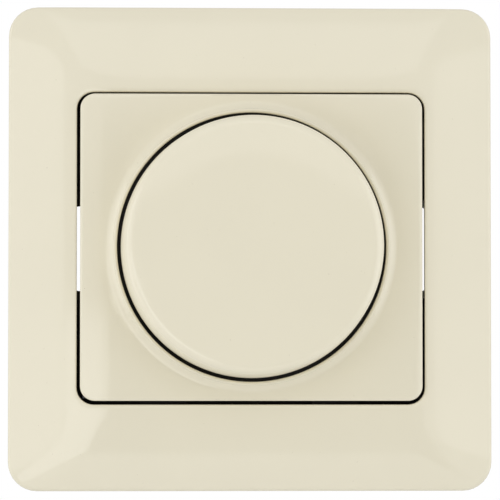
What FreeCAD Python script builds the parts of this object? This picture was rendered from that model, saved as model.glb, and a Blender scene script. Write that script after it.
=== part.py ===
import FreeCAD, Part
import math
import os
from types import SimpleNamespace

import Sketcher

# A flush wall dimmer with a rotary push knob: cover frame, centre plate, steel support and the works behind.
# Millimetres; +X to the right and +Z up as the user faces the wall, -Y towards the user. The wall's face is
# the plane y = 0, and the origin is the centre of the steel support's rear face.

SIZES = {
    # cover frame
    "frame_width": 83.5,
    "frame_corner": 5.0,
    "frame_height": 8.5,
    "frame_wall": 2.0,
    "frame_skirt": 1.5,
    "opening_width": 59.9,
    "opening_height": 53.7,
    "opening_corner": 2.9,
    "frame_play_x": 0.05,
    "frame_play_z": 0.15,
    "frame_relief_depth": 6.4,
    "lug_reach": 1.4,
    "lug_depth": 1.5,
    "lug_width": 8.0,
    "lug_place": 15.0,
    # soft shoulders of the frame's front, shared by the centre plate
    "cheek_start": 28.5,
    "cheek_slope": 0.27,
    "bar_start": 27.0,
    "bar_radius": 35.0,
    "shoulder_softness": 2.5,
    "crease_power": 3.0,
    # centre plate
    "plate_width": 58.8,
    "plate_height": 52.7,
    "plate_corner": 2.5,
    "plate_proud": 0.8,
    "plate_wall": 1.5,
    "plate_ceiling": 2.0,
    "well_radius": 23.1,
    "well_wall": 1.5,
    "well_floor": 7.2,
    "well_floor_thickness": 1.5,
    "collar_radius": 25.6,
    "collar_top": 10.2,
    "collar_lip": 0.35,
    "relief_height": 17.0,
    "relief_depth": 4.5,
    # knob
    "knob_radius": 22.5,
    "knob_base": 8.6,
    "knob_top": 20.5,
    "knob_edge": 1.5,
    "knob_draft": 0.6,
    "knob_wall": 2.0,
    "knob_roof": 2.2,
    "knob_stem_radius": 5.4,
    "knob_stem_end": 11.6,
    "knob_rib": 1.2,
    "knob_rib_end": 14.0,
    "clip_thickness": 0.5,
    "clip_half_width": 2.1,
    "clip_front": 17.6,
    "clip_rear": 12.2,
    # control shaft and its fit
    "shaft_radius": 3.0,
    "shaft_flat": 1.5,
    "shaft_front": 18.0,
    "shaft_rear": 6.5,
    "running_gap": 0.05,
    "screw_clearance": 0.1,
    # steel support
    "support_width": 70.0,
    "support_steel": 1.2,
    "support_cut_corner": 7.0,
    "box_screw_radius": 30.0,
    "box_slot_width": 3.8,
    "box_slot_sweep": 21.0,
    # bush, washer and nut
    "bush_radius": 5.0,
    "bush_front": 10.2,
    "bush_hole": 5.1,
    "washer_thickness": 0.4,
    "washer_radius": 7.6,
    "washer_notch": 0.7,
    "nut_flats": 14.0,
    "nut_thickness": 2.0,
    # potentiometer and push switch
    "sheet_thickness": 0.4,
    "pot_width": 16.5,
    "pot_rear": 5.9,
    "pot_wall": 1.0,
    "pot_bore": 7.4,
    "track_thickness": 0.8,
    "wiper_radius": 6.6,
    "wiper_front": 2.2,
    "wiper_thickness": 1.2,
    "wiper_hub": 4.2,
    "finger_width": 0.8,
    "finger_height": 1.2,
    "finger_place": 5.2,
    "finger_apart": 1.8,
    "pin_width": 1.0,
    "pin_steel": 0.6,
    "pin_reach": 1.6,
    "pin_pitch": 5.0,
    "switch_width": 13.0,
    "switch_rear": 11.0,
    "switch_bore": 4.6,
    "switch_wall": 0.8,
    "plunger_stem": 2.4,
    "plunger_flange": 4.2,
    "plunger_flange_thickness": 0.8,
    "plunger_boss": 1.4,
    "plunger_boss_height": 0.85,
    "push_travel": 1.2,
    "spring_radius": 2.6,
    "spring_wire": 0.35,
    "spring_turns": 3.0,
    # housing
    "housing_width": 41.0,
    "housing_height": 46.0,
    "housing_depth": 26.0,
    "housing_wall": 1.6,
    "housing_corner": 6.0,
    "boss_width": 5.6,
    "boss_height": 4.6,
    "boss_depth": 9.0,
    "boss_screw_x": 16.0,
    "boss_screw_z": 19.0,
    "boss_pilot_depth": 7.5,
    "housing_screw_radius": 1.2,
    "housing_screw_head": 2.2,
    "housing_screw_head_height": 1.2,
    "housing_screw_length": 7.0,
    "housing_slot_width": 0.6,
    "housing_slot_depth": 0.6,
    "vent_width": 1.6,
    "vent_pitch": 4.0,
    "top_vent_front": 14.0,
    "top_vent_rear": 22.0,
    "rear_vent_low": 11.0,
    "rear_vent_high": 18.0,
    "panel_width": 24.0,
    "panel_low": -6.0,
    "panel_high": 8.0,
    "panel_proud": 0.3,
    "terminal_rib": 1.2,
    "terminal_shelf": 0.8,
    # circuit board and what stands on it
    "board_width": 36.6,
    "board_height": 41.6,
    "board_thickness": 1.6,
    "choke_ring": 6.2,
    "choke_section": 2.1,
    "choke_wire": 0.4,
    "choke_turns": 20,
    "choke_x": -8.6,
    "choke_y": 16.6,
    "choke_z": 11.0,
    "fuse_radius": 2.6,
    "fuse_y": 16.6,
    "fuse_z": -8.6,
    "fuse_left": -17.2,
    "fuse_right": 2.8,
    "fuse_cap": 5.0,
    "fuse_clip": 3.6,
    "fuse_clip_side": 0.5,
    "sink_near": 15.2,
    "sink_metal": 1.4,
    "sink_rear": 23.8,
    "sink_low": -6.0,
    "sink_high": 19.0,
    "sink_foot_near": 10.5,
    "sink_foot_low": 3.0,
    "sink_foot_high": 10.0,
    "triac_near": 10.8,
    "triac_thickness": 3.2,
    "triac_front": 14.1,
    "triac_rear": 23.5,
    "triac_low": 2.0,
    "triac_high": 11.0,
    "triac_tab_thickness": 1.2,
    "triac_tab_high": 18.2,
    "triac_leg_x": 12.4,
    "triac_leg_y": 16.3,
    "triac_leg_pitch": 2.5,
    "triac_leg_thickness": 0.6,
    "triac_leg_width": 0.9,
    "triac_leg_drop": 4.2,
    "triac_leg_step": 1.2,
    "triac_screw_y": 18.8,
    "triac_screw_z": 15.6,
    "triac_screw_radius": 1.25,
    "triac_screw_head": 2.3,
    "triac_screw_head_height": 1.6,
    "triac_screw_end": 17.6,
    "resistor_left": 3.2,
    "resistor_length": 5.2,
    "resistor_radius": 1.2,
    "resistor_lift": 1.5,
    "resistor_lead": 0.3,
    "resistor_lead_length": 1.2,
    "diac_left": 4.0,
    "diac_length": 3.6,
    "diac_radius": 0.95,
    "diac_lift": 1.3,
    "diac_lead": 0.28,
    "diac_lead_length": 1.8,
    "diac_z": 17.2,
    "capacitor_corner": 0.6,
    # terminals
    "terminal_pitch": 11.4,
    "terminal_width": 7.8,
    "terminal_height": 8.0,
    "terminal_front": 13.0,
    "terminal_rear": 22.0,
    "terminal_wall": 1.0,
    "terminal_centre": -17.3,
    "clamp_front": 18.6,
    "clamp_thickness": 1.2,
    "terminal_screw_radius": 1.75,
    "terminal_screw_rear": 25.6,
    "terminal_slot_width": 0.7,
    "terminal_slot_depth": 0.9,
    "terminal_foot": 2.0,
    "clamp_groove": 0.5,
    "clamp_groove_pitch": 1.6,
    "clamp_groove_depth": 0.25,
    "screw_access_radius": 2.6,
    "wire_entry_radius": 2.0,
    "wire_entry_depth": 16.2,
    # expanding claws
    "claw_screw_x": 24.5,
    "claw_screw_radius": 1.5,
    "claw_screw_rear": 17.5,
    "claw_screw_head": 2.75,
    "claw_screw_head_height": 1.8,
    "claw_slot_width": 0.9,
    "claw_slot_depth": 1.0,
    "claw_nut_inner": 21.3,
    "claw_nut_outer": 26.9,
    "claw_nut_front": 12.0,
    "claw_nut_length": 4.0,
    "claw_nut_half": 4.0,
    "claw_inner": 27.1,
    "claw_steel": 1.2,
    "claw_half": 4.8,
    "claw_rear": 19.0,
    "claw_tooth_first": 15.2,
    "claw_tooth_pitch": 1.6,
    "claw_tooth_width": 0.7,
    "claw_tooth_height": 0.6,
    "claw_notch": 4.4,
    "claw_pin_x": 26.95,
    "claw_pin_depth": 3.0,
    "claw_pin_radius": 0.8,
    "claw_knuckle": 1.45,
    "ear_inner": 25.6,
    "ear_outer": 28.0,
    "ear_start": 5.0,
    "ear_steel": 1.2,
    "ear_depth": 4.7,
}

doc = FreeCAD.newDocument("WallDimmer")
sheet = doc.addObject("Spreadsheet::Sheet", "Dims")
for line, (alias, number) in enumerate(SIZES.items(), 1):
    sheet.set(f"A{line}", alias)
    sheet.set(f"B{line}", str(number))
    sheet.setAlias(f"B{line}", alias)
doc.recompute()


class Size:
    """A size as its number and as the spreadsheet expression that gives it."""

    def __init__(self, number, text=None):
        self.number = float(number)
        self.text = text or repr(self.number)

    def join(self, other, sign, number):
        return Size(number, f"({self.text} {sign} {sized(other).text})")

    def __float__(self):
        return self.number

    def __neg__(self):
        return Size(-self.number, f"(-1 * {self.text})")

    def __add__(self, other):
        return self.join(other, "+", self.number + float(other))

    def __sub__(self, other):
        return self.join(other, "-", self.number - float(other))

    def __mul__(self, other):
        return self.join(other, "*", self.number * float(other))

    def __truediv__(self, other):
        return self.join(other, "/", self.number / float(other))

    def __rsub__(self, other):
        return sized(other) - self

    def __lt__(self, other):
        return self.number < float(other)

    __radd__ = __add__
    __rmul__ = __mul__


def sized(value):
    return value if isinstance(value, Size) else Size(value)


d = SimpleNamespace(**{alias: Size(number, f"Dims.{alias}") for alias, number in SIZES.items()})
HERE = Size(0)
TOWARDS_WALL = FreeCAD.Rotation(FreeCAD.Vector(1, 0, 0), -90)
TOWARDS_RIGHT = FreeCAD.Rotation(FreeCAD.Vector(0, 1, 0), 90)
SIDES = (("left", -1), ("right", 1))
pieces = []


# ---- building blocks -------------------------------------------------------------------------------

def bind(target, **sizes):
    """Hold properties of an object at sizes from the sheet."""
    for name, size in sizes.items():
        target.setExpression(name, sized(size).text)
    return target


def put(target, x=0, y=0, z=0, turn=None):
    """Place an object, its position bound to the sheet."""
    if turn is not None:
        target.Placement = FreeCAD.Placement(FreeCAD.Vector(), turn)
    for axis, size in zip("xyz", (x, y, z)):
        target.setExpression(f"Placement.Base.{axis}", sized(size).text)
    return target


def between(a, b):
    """A pair of sizes in rising order."""
    a, b = sized(a), sized(b)
    return (a, b) if a < b else (b, a)


def about(centre, width):
    """The two ends of a width about a centre."""
    return sized(centre) - width / 2, sized(centre) + width / 2


def block(name, x, y, z):
    """A box from three (low, high) pairs."""
    box = doc.addObject("Part::Box", name)
    bind(box, Length=x[1] - x[0], Width=y[1] - y[0], Height=z[1] - z[0])
    return put(box, x[0], y[0], z[0])


def rod(name, radius, y, x=0, z=0):
    """A cylinder along Y between two depths."""
    cylinder = doc.addObject("Part::Cylinder", name)
    bind(cylinder, Radius=radius, Height=y[1] - y[0])
    return put(cylinder, x, y[0], z, TOWARDS_WALL)


def upright(name, radius, z, x=0, y=0):
    """A cylinder along Z between two heights."""
    cylinder = doc.addObject("Part::Cylinder", name)
    bind(cylinder, Radius=radius, Height=z[1] - z[0])
    return put(cylinder, x, y, z[0])


def bar(name, radius, x, y=0, z=0):
    """A cylinder along X between two places."""
    cylinder = doc.addObject("Part::Cylinder", name)
    bind(cylinder, Radius=radius, Height=x[1] - x[0])
    return put(cylinder, x[0], y, z, TOWARDS_RIGHT)


def fuse(name, parts):
    union = doc.addObject("Part::MultiFuse", name)
    union.Shapes = parts
    return union


def cut(name, base, tools):
    """The base less every tool."""
    less = doc.addObject("Part::Cut", name)
    less.Base = base
    less.Tool = tools[0] if len(tools) == 1 else fuse(name + "_tools", tools)
    return less


def group(name, parts):
    """Separate solids that share one node."""
    together = doc.addObject("Part::Compound", name)
    together.Links = parts
    return together


def sketch_on(body, name, role, offset=0):
    """A sketch on one of the body's own origin planes, moved along the plane's normal."""
    sketch = body.newObject("Sketcher::SketchObject", name)
    plane = next(feature for feature in body.Origin.OriginFeatures if feature.Role == role)
    sketch.AttachmentSupport = [(plane, "")]
    sketch.MapMode = "FlatFace"
    sketch.setExpression("AttachmentOffset.Base.z", sized(offset).text)
    return sketch


def outline(sketch, corners):
    """A closed polygon in a sketch, each corner held at its two sizes from the origin."""
    first = sketch.GeometryCount
    points = [FreeCAD.Vector(float(u), float(v), 0) for u, v in corners]
    for start, end in zip(points, points[1:] + points[:1]):
        sketch.addGeometry(Part.LineSegment(start, end), False)
    for index, (u, v) in enumerate(corners):
        edge = first + index
        before = first + (index - 1) % len(corners)
        sketch.addConstraint(Sketcher.Constraint("Coincident", before, 2, edge, 1))
        for kind, size in (("DistanceX", u), ("DistanceY", v)):
            held = sketch.addConstraint(Sketcher.Constraint(kind, edge, 1, float(size)))
            sketch.setExpression(f"Constraints[{held}]", sized(size).text)
    return sketch


def rectangle(u, v):
    """The corners of a rectangle from two (low, high) pairs."""
    return [(u[0], v[0]), (u[1], v[0]), (u[1], v[1]), (u[0], v[1])]


def pad(body, name, corners, y):
    """A plate of a given outline in X and Z between two depths in Y."""
    sketch = outline(sketch_on(body, name + "_outline", "XZ_Plane", -y[1]), corners)
    feature = body.newObject("PartDesign::Pad", name + "_pad")
    feature.Profile = sketch
    bind(feature, Length=y[1] - y[0])
    return feature


def edges_along_y(feature):
    """Names of the straight edges that run along Y, such as a plate's upright corners."""
    found = []
    for index, edge in enumerate(feature.Shape.Edges, 1):
        way = edge.tangentAt(edge.FirstParameter)
        if abs(abs(way.y) - 1) < 1e-6 and edge.Curve.TypeId == "Part::GeomLine":
            found.append(f"Edge{index}")
    return found


def slab(name, x, y, z, corner):
    """A rectangular plate with its four corners rounded, as a body of its own."""
    body = doc.addObject("PartDesign::Body", name)
    blank = pad(body, name, rectangle(x, z), y)
    doc.recompute()
    rounding = body.newObject("PartDesign::Fillet", name + "_corners")
    rounding.Base = (blank, edges_along_y(blank))
    bind(rounding, Radius=corner)
    return body


def turned(name, profile):
    """A piece turned about the Y axis from a profile of (radius, depth) corners."""
    body = doc.addObject("PartDesign::Body", name)
    sketch = outline(sketch_on(body, name + "_profile", "XY_Plane"), profile)
    feature = body.newObject("PartDesign::Revolution", name + "_turn")
    feature.Profile = sketch
    feature.ReferenceAxis = (sketch, ["V_Axis"])
    feature.Angle = 360
    return body


def formed(name, shape, x=0, y=0, z=0, turn=FreeCAD.Rotation()):
    """A piece whose shape is worked out with Part's functions from sizes of the sheet, then placed."""
    feature = doc.addObject("Part::Feature", name)
    feature.Shape = shape
    return put(feature, x, y, z, turn)


def node(name, built):
    """Name a finished sub-part; its label becomes its file's name."""
    built.Label = name
    pieces.append(built)
    return built


# ---- the soft front shared by the cover frame and the centre plate ------------------------------------

def shoulder(distance, start):
    """0 well inside the start, rising to the distance past it, with a soft knee between."""
    past = distance - start
    return (past + math.hypot(past, float(d.shoulder_softness))) / 2


def front_drop(x, z):
    """How far the front falls back at a place: flat cheeks left and right, rolled bars above and below."""
    cheek = float(d.cheek_slope) * shoulder(abs(x), float(d.cheek_start))
    roll = shoulder(abs(z), float(d.bar_start)) ** 2 / (2 * float(d.bar_radius))
    power = float(d.crease_power)
    return (cheek ** power + roll ** power) ** (1 / power)


def behind_front(height):
    """The solid space behind the soft front, whose flat middle stands a given height off the wall."""
    reach, steps = 45.0, 32
    places = [reach * (2 * index / steps - 1) for index in range(steps + 1)]
    rows = [[FreeCAD.Vector(x, front_drop(x, z) - height, z) for z in places] for x in places]
    front = Part.BSplineSurface()
    front.interpolate(rows)
    return front.toShape().extrude(FreeCAD.Vector(0, 30, 0))


def prism(width, height, corner, y0, y1):
    """A rounded rectangular prism along Y, centred on the Y axis."""
    box = Part.makeBox(width, y1 - y0, height, FreeCAD.Vector(-width / 2, y0, -height / 2))
    return box.makeFillet(corner, [edge for edge in box.Edges if abs(edge.tangentAt(0).y) > 0.9])


def centred_box(width, height, y0, y1, x=0.0, z=0.0):
    return Part.makeBox(width, y1 - y0, height, FreeCAD.Vector(x - width / 2, y0, z - height / 2))


def make_cover_frame():
    """One ivory moulding: soft front, outer wall to the wall's face, inner skirt down to the support."""
    width, corner, wall = float(d.frame_width), float(d.frame_corner), float(d.frame_wall)
    wide, high = float(d.opening_width), float(d.opening_height)
    round_in, skirt, steel = float(d.opening_corner), float(d.frame_skirt), float(d.support_steel)
    outer = prism(width, width, corner, -20, 0).common(behind_front(float(d.frame_height)))
    hollow = prism(width - 2 * wall, width - 2 * wall, corner - wall, -20, 1)
    hollow = hollow.common(behind_front(float(d.frame_height) - wall))
    hollow = hollow.cut(prism(wide + 2 * skirt, high + 2 * skirt, round_in + skirt, -20, -steel))
    frame = outer.cut(hollow).cut(prism(wide, high, round_in, -20, 1))
    relief = centred_box(width - 2 * wall, float(d.relief_height), -float(d.frame_relief_depth), -steel)
    inner = centred_box(wide - 4, float(d.relief_height) + 2, -20, 1)
    frame = frame.cut(relief.cut(inner).common(prism(wide + 2 * skirt + 1, 40, 1, -20, 1)))
    lug_span = float(d.lug_reach) + skirt
    for side in (-1, 1):
        for place in (-float(d.lug_place), float(d.lug_place)):
            middle = side * (high / 2 + skirt - lug_span / 2)
            lug_front = -steel - float(d.lug_depth)
            lug = centred_box(float(d.lug_width), lug_span, lug_front, -steel, place, middle)
            frame = frame.fuse(lug)
    return frame.removeSplitter()


def collar_profile():
    """Half section of the raised collar: upright inside, a small round lip, a hollow slope outside."""
    inner, outer, top = float(d.well_radius), float(d.collar_radius), float(d.collar_top)
    face = float(d.frame_height) + float(d.plate_proud)
    lip, foot = float(d.collar_lip), face - 0.5
    at = lambda radius, height: FreeCAD.Vector(radius, -height, 0)
    crest = inner + 2 * lip
    edges = [
        Part.LineSegment(at(inner, foot), at(inner, top - lip)),
        Part.Arc(at(inner, top - lip), at(inner + lip, top), at(crest, top - lip)),
        Part.Arc(at(crest, top - lip), at(crest + 0.75, face + 0.12), at(outer, face - 0.15)),
        Part.LineSegment(at(outer, face - 0.15), at(outer, foot)),
        Part.LineSegment(at(outer, foot), at(inner, foot)),
    ]
    return Part.Face(Part.Wire([edge.toShape() for edge in edges]))


def make_centre_plate():
    """One ivory moulding: soft front with a raised collar, a well for the knob, a skirt to the support."""
    wide, high, corner = float(d.plate_width), float(d.plate_height), float(d.plate_corner)
    wall, ceiling, steel = float(d.plate_wall), float(d.plate_ceiling), float(d.support_steel)
    face = float(d.frame_height) + float(d.plate_proud)
    floor, well = float(d.well_floor), float(d.well_radius)
    axis, towards_wall = FreeCAD.Vector(0, -30, 0), FreeCAD.Vector(0, 1, 0)
    back = floor - float(d.well_floor_thickness)
    outer = prism(wide, high, corner, -20, -steel).common(behind_front(face))
    hollow = prism(wide - 2 * wall, high - 2 * wall, corner - wall, -20, 0)
    hollow = hollow.common(behind_front(face - ceiling))
    hollow = hollow.cut(Part.makeCylinder(well + float(d.well_wall), 30 - back, axis, towards_wall))
    plate = outer.cut(hollow)
    plate = plate.fuse(collar_profile().revolve(FreeCAD.Vector(), towards_wall, 360))
    plate = plate.cut(Part.makeCylinder(well, 30 - floor, axis, towards_wall))
    plate = plate.cut(Part.makeCylinder(float(d.bush_hole), 40, axis, towards_wall))
    plate = plate.cut(centred_box(wide + 2, float(d.relief_height), -float(d.relief_depth), 0))
    seat = -steel - float(d.lug_depth) - float(d.running_gap)
    for side in (-1, 1):
        for place in (-float(d.lug_place), float(d.lug_place)):
            room = centred_box(float(d.lug_width) + 0.6, 2 * wall + 2, seat, 0, place, side * high / 2)
            plate = plate.cut(room)
    return plate.removeSplitter()


# ---- steel support -----------------------------------------------------------------------------------

def make_support():
    """Stamped steel plate: four curved slots for the wall box's screws, ears folded back for the claws."""
    half, cut_corner = d.support_width / 2, d.support_cut_corner
    corners = [
        (half - cut_corner, -half), (half, cut_corner - half), (half, half - cut_corner),
        (half - cut_corner, half), (cut_corner - half, half), (-half, half - cut_corner),
        (-half, cut_corner - half), (cut_corner - half, -half),
    ]
    body = doc.addObject("PartDesign::Body", "support_blank")
    steel = (-d.support_steel, HERE)
    pad(body, "support", corners, steel)
    through = (-d.support_steel - 1, HERE + 1)
    holes = [rod("bush_clearance", d.bush_hole, through)]
    for quarter in range(4):
        holes.append(box_slot(quarter, through))
    for name, side in SIDES:
        holes.append(rod(f"claw_screw_clearance_{name}", d.claw_screw_radius + d.screw_clearance, through,
                         side * d.claw_screw_x))
    for x, z in boss_places():
        holes.append(rod("housing_screw_clearance", d.housing_screw_radius + d.screw_clearance, through, x, z))
    plate = cut("support_flat", body, holes)
    ears = [claw_ear(name, side, end) for name, side in SIDES for end in (-1, 1)]
    return fuse("support_folded", [plate] + ears)


def box_slot(quarter, through):
    """A curved slot about the Y axis, centred on one of the four quarters."""
    turn = 90.0 * quarter
    reach = d.box_slot_width / 2
    sectors = []
    for name, radius in (("outer", d.box_screw_radius + reach), ("inner", d.box_screw_radius - reach)):
        sector = doc.addObject("Part::Cylinder", f"slot_{name}")
        bind(sector, Radius=radius, Height=through[1] - through[0], Angle=d.box_slot_sweep)
        spin = FreeCAD.Rotation(FreeCAD.Vector(0, 1, 0), turn - float(d.box_slot_sweep) / 2)
        sectors.append(put(sector, 0, through[0], 0, spin.multiply(TOWARDS_WALL)))
    ends = []
    for side in (-1, 1):
        angle = math.radians(turn + side * float(d.box_slot_sweep) / 2)
        x, z = d.box_screw_radius * math.cos(angle), d.box_screw_radius * math.sin(angle)
        ends.append(rod("slot_end", reach, through, x, z))
    return fuse("box_slot", [cut("slot_sector", sectors[0], [sectors[1]])] + ends)


def claw_ear(name, side, end):
    """One folded ear that carries a claw's pin."""
    low, high = between(end * d.ear_start, end * (d.ear_start + d.ear_steel))
    across = between(side * d.ear_inner, side * d.ear_outer)
    tab = block(f"ear_{name}", across, (HERE, d.ear_depth), (low, high))
    bore = upright("ear_bore", d.claw_pin_radius + d.running_gap, (low - 1, high + 1),
                   side * d.claw_pin_x, d.claw_pin_depth)
    return cut(f"ear_bored_{name}", tab, [bore])


def boss_places():
    """The four screws that hold the housing to the support."""
    return [(sx * d.boss_screw_x, sz * d.boss_screw_z) for sx in (-1, 1) for sz in (-1, 1)]


# ---- housing -----------------------------------------------------------------------------------------

def terminal_places():
    """The X of each of the three terminals, left to right."""
    return [number * d.terminal_pitch for number in (-1, 0, 1)]


def make_housing():
    """Black moulded cup behind the support, with bosses, terminal partitions, vents and wire entries."""
    wide, high, depth, wall = d.housing_width, d.housing_height, d.housing_depth, d.housing_wall
    blank = slab("housing_blank", about(0, wide), (HERE, depth), about(0, high), d.housing_corner)
    cavity = slab("housing_cavity", about(0, wide - 2 * wall), (HERE - 1, depth - wall),
                  about(0, high - 2 * wall), d.housing_corner - wall)
    inside = (wide / 2 - wall, high / 2 - wall)
    moulded_in = []
    for sx in (-1, 1):
        for sz in (-1, 1):
            x = between(sx * (inside[0] - d.boss_width), sx * (inside[0] + 0.5))
            z = between(sz * (inside[1] - d.boss_height), sz * (inside[1] + 0.5))
            moulded_in.append(block("boss", x, (d.sheet_thickness, d.boss_depth), z))
    behind_board = d.switch_rear + d.board_thickness + 0.2
    rear = depth - wall / 2
    shelf = -inside[1] + d.terminal_height + 0.5
    for side in (-1, 1):
        rib = about(side * d.terminal_pitch / 2, d.terminal_rib)
        moulded_in.append(block("terminal_rib", rib, (behind_board, rear), (-inside[1] - 0.5, shelf)))
    moulded_in.append(block("terminal_shelf", about(0, 2 * inside[0] + 1), (behind_board, rear),
                            (shelf, shelf + d.terminal_shelf)))
    cup = cut("housing_cup", blank, [cut("housing_hollow", cavity, moulded_in)])
    panel = block("rating_panel", about(0, d.panel_width), (depth - 0.5, depth + d.panel_proud),
                  (d.panel_low, d.panel_high))
    moulded = fuse("housing_moulded", [cup, panel])
    pilot = (HERE, d.boss_pilot_depth)
    removed = [rod("boss_pilot", d.housing_screw_radius, pilot, x, z) for x, z in boss_places()]
    for x in terminal_places():
        removed.append(rod("screw_access", d.screw_access_radius, (rear - 1, depth + 1), x, d.terminal_centre))
        removed.append(upright("wire_entry", d.wire_entry_radius, (-high / 2 - 1, -inside[1] + 0.2),
                               x, d.wire_entry_depth))
    for number in range(-3, 4):
        slot = about(number * d.vent_pitch, d.vent_width)
        removed.append(block("top_vent", slot, (d.top_vent_front, d.top_vent_rear),
                             (inside[1] - 0.5, high / 2 + 1)))
        removed.append(block("rear_vent", slot, (rear - 1, depth + 1), (d.rear_vent_low, d.rear_vent_high)))
    return cut("housing_open", moulded, removed)


def make_housing_screws():
    """Four pan-head screws from the support into the housing's bosses."""
    screws = []
    for x, z in boss_places():
        front = -d.support_steel
        top = front - d.housing_screw_head_height
        shank = rod("housing_shank", d.housing_screw_radius, (front, d.housing_screw_length), x, z)
        head = rod("housing_head", d.housing_screw_head, (top, front), x, z)
        slot = block("housing_screw_slot", about(x, 1.6 * d.housing_screw_head),
                     (top - 1, top + d.housing_slot_depth), about(z, d.housing_slot_width))
        screws.append(cut("housing_screw", fuse("housing_screw_blank", [head, shank]), [slot]))
    return group("housing_screw_set", screws)


def make_insulation():
    """A thin pressboard sheet between the steel and the works."""
    room = Size(0.1)
    inside_x = d.housing_width / 2 - d.housing_wall - room
    inside_z = d.housing_height / 2 - d.housing_wall - room
    blank = slab("sheet_blank", (-inside_x, inside_x), (HERE, d.sheet_thickness), (-inside_z, inside_z),
                 d.housing_corner - d.housing_wall)
    through = (HERE - 1, d.sheet_thickness + 1)
    holes = [rod("sheet_bush_hole", d.bush_hole, through)]
    holes += [rod("sheet_screw_hole", d.housing_screw_radius + d.screw_clearance, through, x, z)
              for x, z in boss_places()]
    return cut("sheet_cut", blank, holes)


# ---- potentiometer, switch and shaft -----------------------------------------------------------------

def make_pot_case():
    width = d.pot_width
    case = slab("pot_blank", about(0, width), (d.sheet_thickness, d.pot_rear), about(0, width), Size(2))
    chamber = rod("pot_chamber", d.pot_bore, (d.sheet_thickness + d.pot_wall, d.pot_rear + 1))
    hole = rod("pot_bush_seat", d.bush_radius, (HERE, d.sheet_thickness + d.pot_wall + 1))
    return cut("pot_hollow", case, [chamber, hole])


def make_bush():
    """Brass bush that carries the shaft; its thread is left as a plain cylinder."""
    rear = d.sheet_thickness + d.pot_wall
    shell = rod("bush_shell", d.bush_radius, (-d.bush_front, rear))
    bore = rod("bush_bore", d.shaft_radius + d.running_gap, (-d.bush_front - 1, rear + 1))
    return cut("bush_bored", shell, [bore])


def make_washer():
    """Serrated lock washer: a ring with a notched edge."""
    span = (-d.well_floor - d.washer_thickness, -d.well_floor)
    ring = rod("washer_ring", d.washer_radius, span)
    removed = [rod("washer_hole", d.bush_hole, (span[0] - 1, span[1] + 1))]
    for tooth in range(12):
        angle = math.radians(30 * tooth)
        x, z = d.washer_radius * math.cos(angle), d.washer_radius * math.sin(angle)
        removed.append(rod("washer_notch", d.washer_notch, (span[0] - 1, span[1] + 1), x, z))
    return cut("washer_cut", ring, removed)


def make_nut():
    """Hexagon nut with its corners turned down."""
    rear = -d.well_floor - d.washer_thickness
    corner = d.nut_flats / math.sqrt(3)
    angles = [math.radians(60 * side) for side in range(6)]
    ends = [(corner * math.cos(angle), corner * math.sin(angle)) for angle in angles]
    body = doc.addObject("PartDesign::Body", "nut_blank")
    pad(body, "nut", ends, (rear - d.nut_thickness, rear))
    turning = doc.addObject("Part::Cone", "nut_turning")
    front_radius = d.nut_flats / 2
    rear_radius = front_radius + d.nut_thickness * 2
    bind(turning, Radius1=front_radius, Radius2=rear_radius, Height=d.nut_thickness)
    put(turning, 0, rear - d.nut_thickness, 0, TOWARDS_WALL)
    chamfered = doc.addObject("Part::MultiCommon", "nut_chamfered")
    chamfered.Shapes = [body, turning]
    return cut("nut_bored", chamfered, [rod("nut_thread", d.bush_radius, (rear - 5, rear + 1))])


def make_shaft():
    """Round shaft with a flat at the front for the knob and one at the rear for the wiper."""
    body = turned("shaft_body", [(HERE, -d.shaft_front), (d.shaft_radius - 0.4, -d.shaft_front),
                                 (d.shaft_radius, -d.shaft_front + 0.4), (d.shaft_radius, d.shaft_rear),
                                 (HERE, d.shaft_rear)])
    above = (d.shaft_flat, d.shaft_radius + 1)
    across = about(0, d.shaft_radius * 2 + 2)
    flats = [
        block("shaft_front_flat", across, (-d.shaft_front - 1, -d.bush_front - 0.3), above),
        block("shaft_rear_flat", across, (d.sheet_thickness + 0.1, d.shaft_rear + 1), above),
    ]
    return cut("shaft_flatted", body, flats)


def d_bore(name, y, flat):
    """The D-shaped hole that fits the shaft, its flat at a given height above the axis."""
    hole = rod(f"{name}_bore", d.shaft_radius + d.running_gap, y)
    crown = block(f"{name}_flat", about(0, d.shaft_radius * 2 + 2), (y[0] - 1, y[1] + 1),
                  (flat, d.shaft_radius + 2))
    return cut(f"{name}_d_bore", hole, [crown])


def make_wiper():
    """Turning disc with a D-shaped hub and two sprung contact fingers that sweep the track."""
    front, rear = d.wiper_front, d.wiper_front + d.wiper_thickness
    disc = rod("wiper_disc", d.wiper_radius, (front, rear))
    hub = rod("wiper_hub", d.wiper_hub, (front - 0.4, rear + 0.4))
    touch = d.pot_rear - d.track_thickness - 0.1
    height = about(-d.finger_place, d.finger_height)
    places = [about(side * d.finger_apart / 2, d.finger_width) for side in (-1, 1)]
    fingers = [block("wiper_finger", across, (rear - 0.1, touch), height) for across in places]
    solid = fuse("wiper_solid", [disc, hub] + fingers)
    return cut("wiper_cut", solid, [d_bore("wiper", (front - 1.4, rear + 1.4), d.shaft_flat + d.running_gap)])


def make_track():
    """Round wafer with a horseshoe resistance path."""
    span = (d.pot_rear - d.track_thickness, d.pot_rear)
    wafer = rod("track_wafer", d.pot_bore, span)
    return cut("track_cut", wafer, [rod("track_hole", d.shaft_radius + 0.5, (span[0] - 1, span[1] + 1))])


def make_pot_pins():
    """Three flat pins from the potentiometer's upper edge, bent back through the board."""
    pins = []
    edge, bend = d.pot_width / 2, d.pot_width / 2 + d.pin_reach
    front, tip = d.pot_rear - 1.0, d.switch_rear + d.board_thickness + 1.2
    for number in (-1, 0, 1):
        across = about(number * d.pin_pitch, d.pin_width)
        out = block("pin_out", across, (front, front + d.pin_steel), (edge, bend))
        back = block("pin_back", across, (front, tip), (bend, bend + d.pin_steel))
        pins.append(fuse("pin", [out, back]))
    return group("pin_set", pins)


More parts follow.
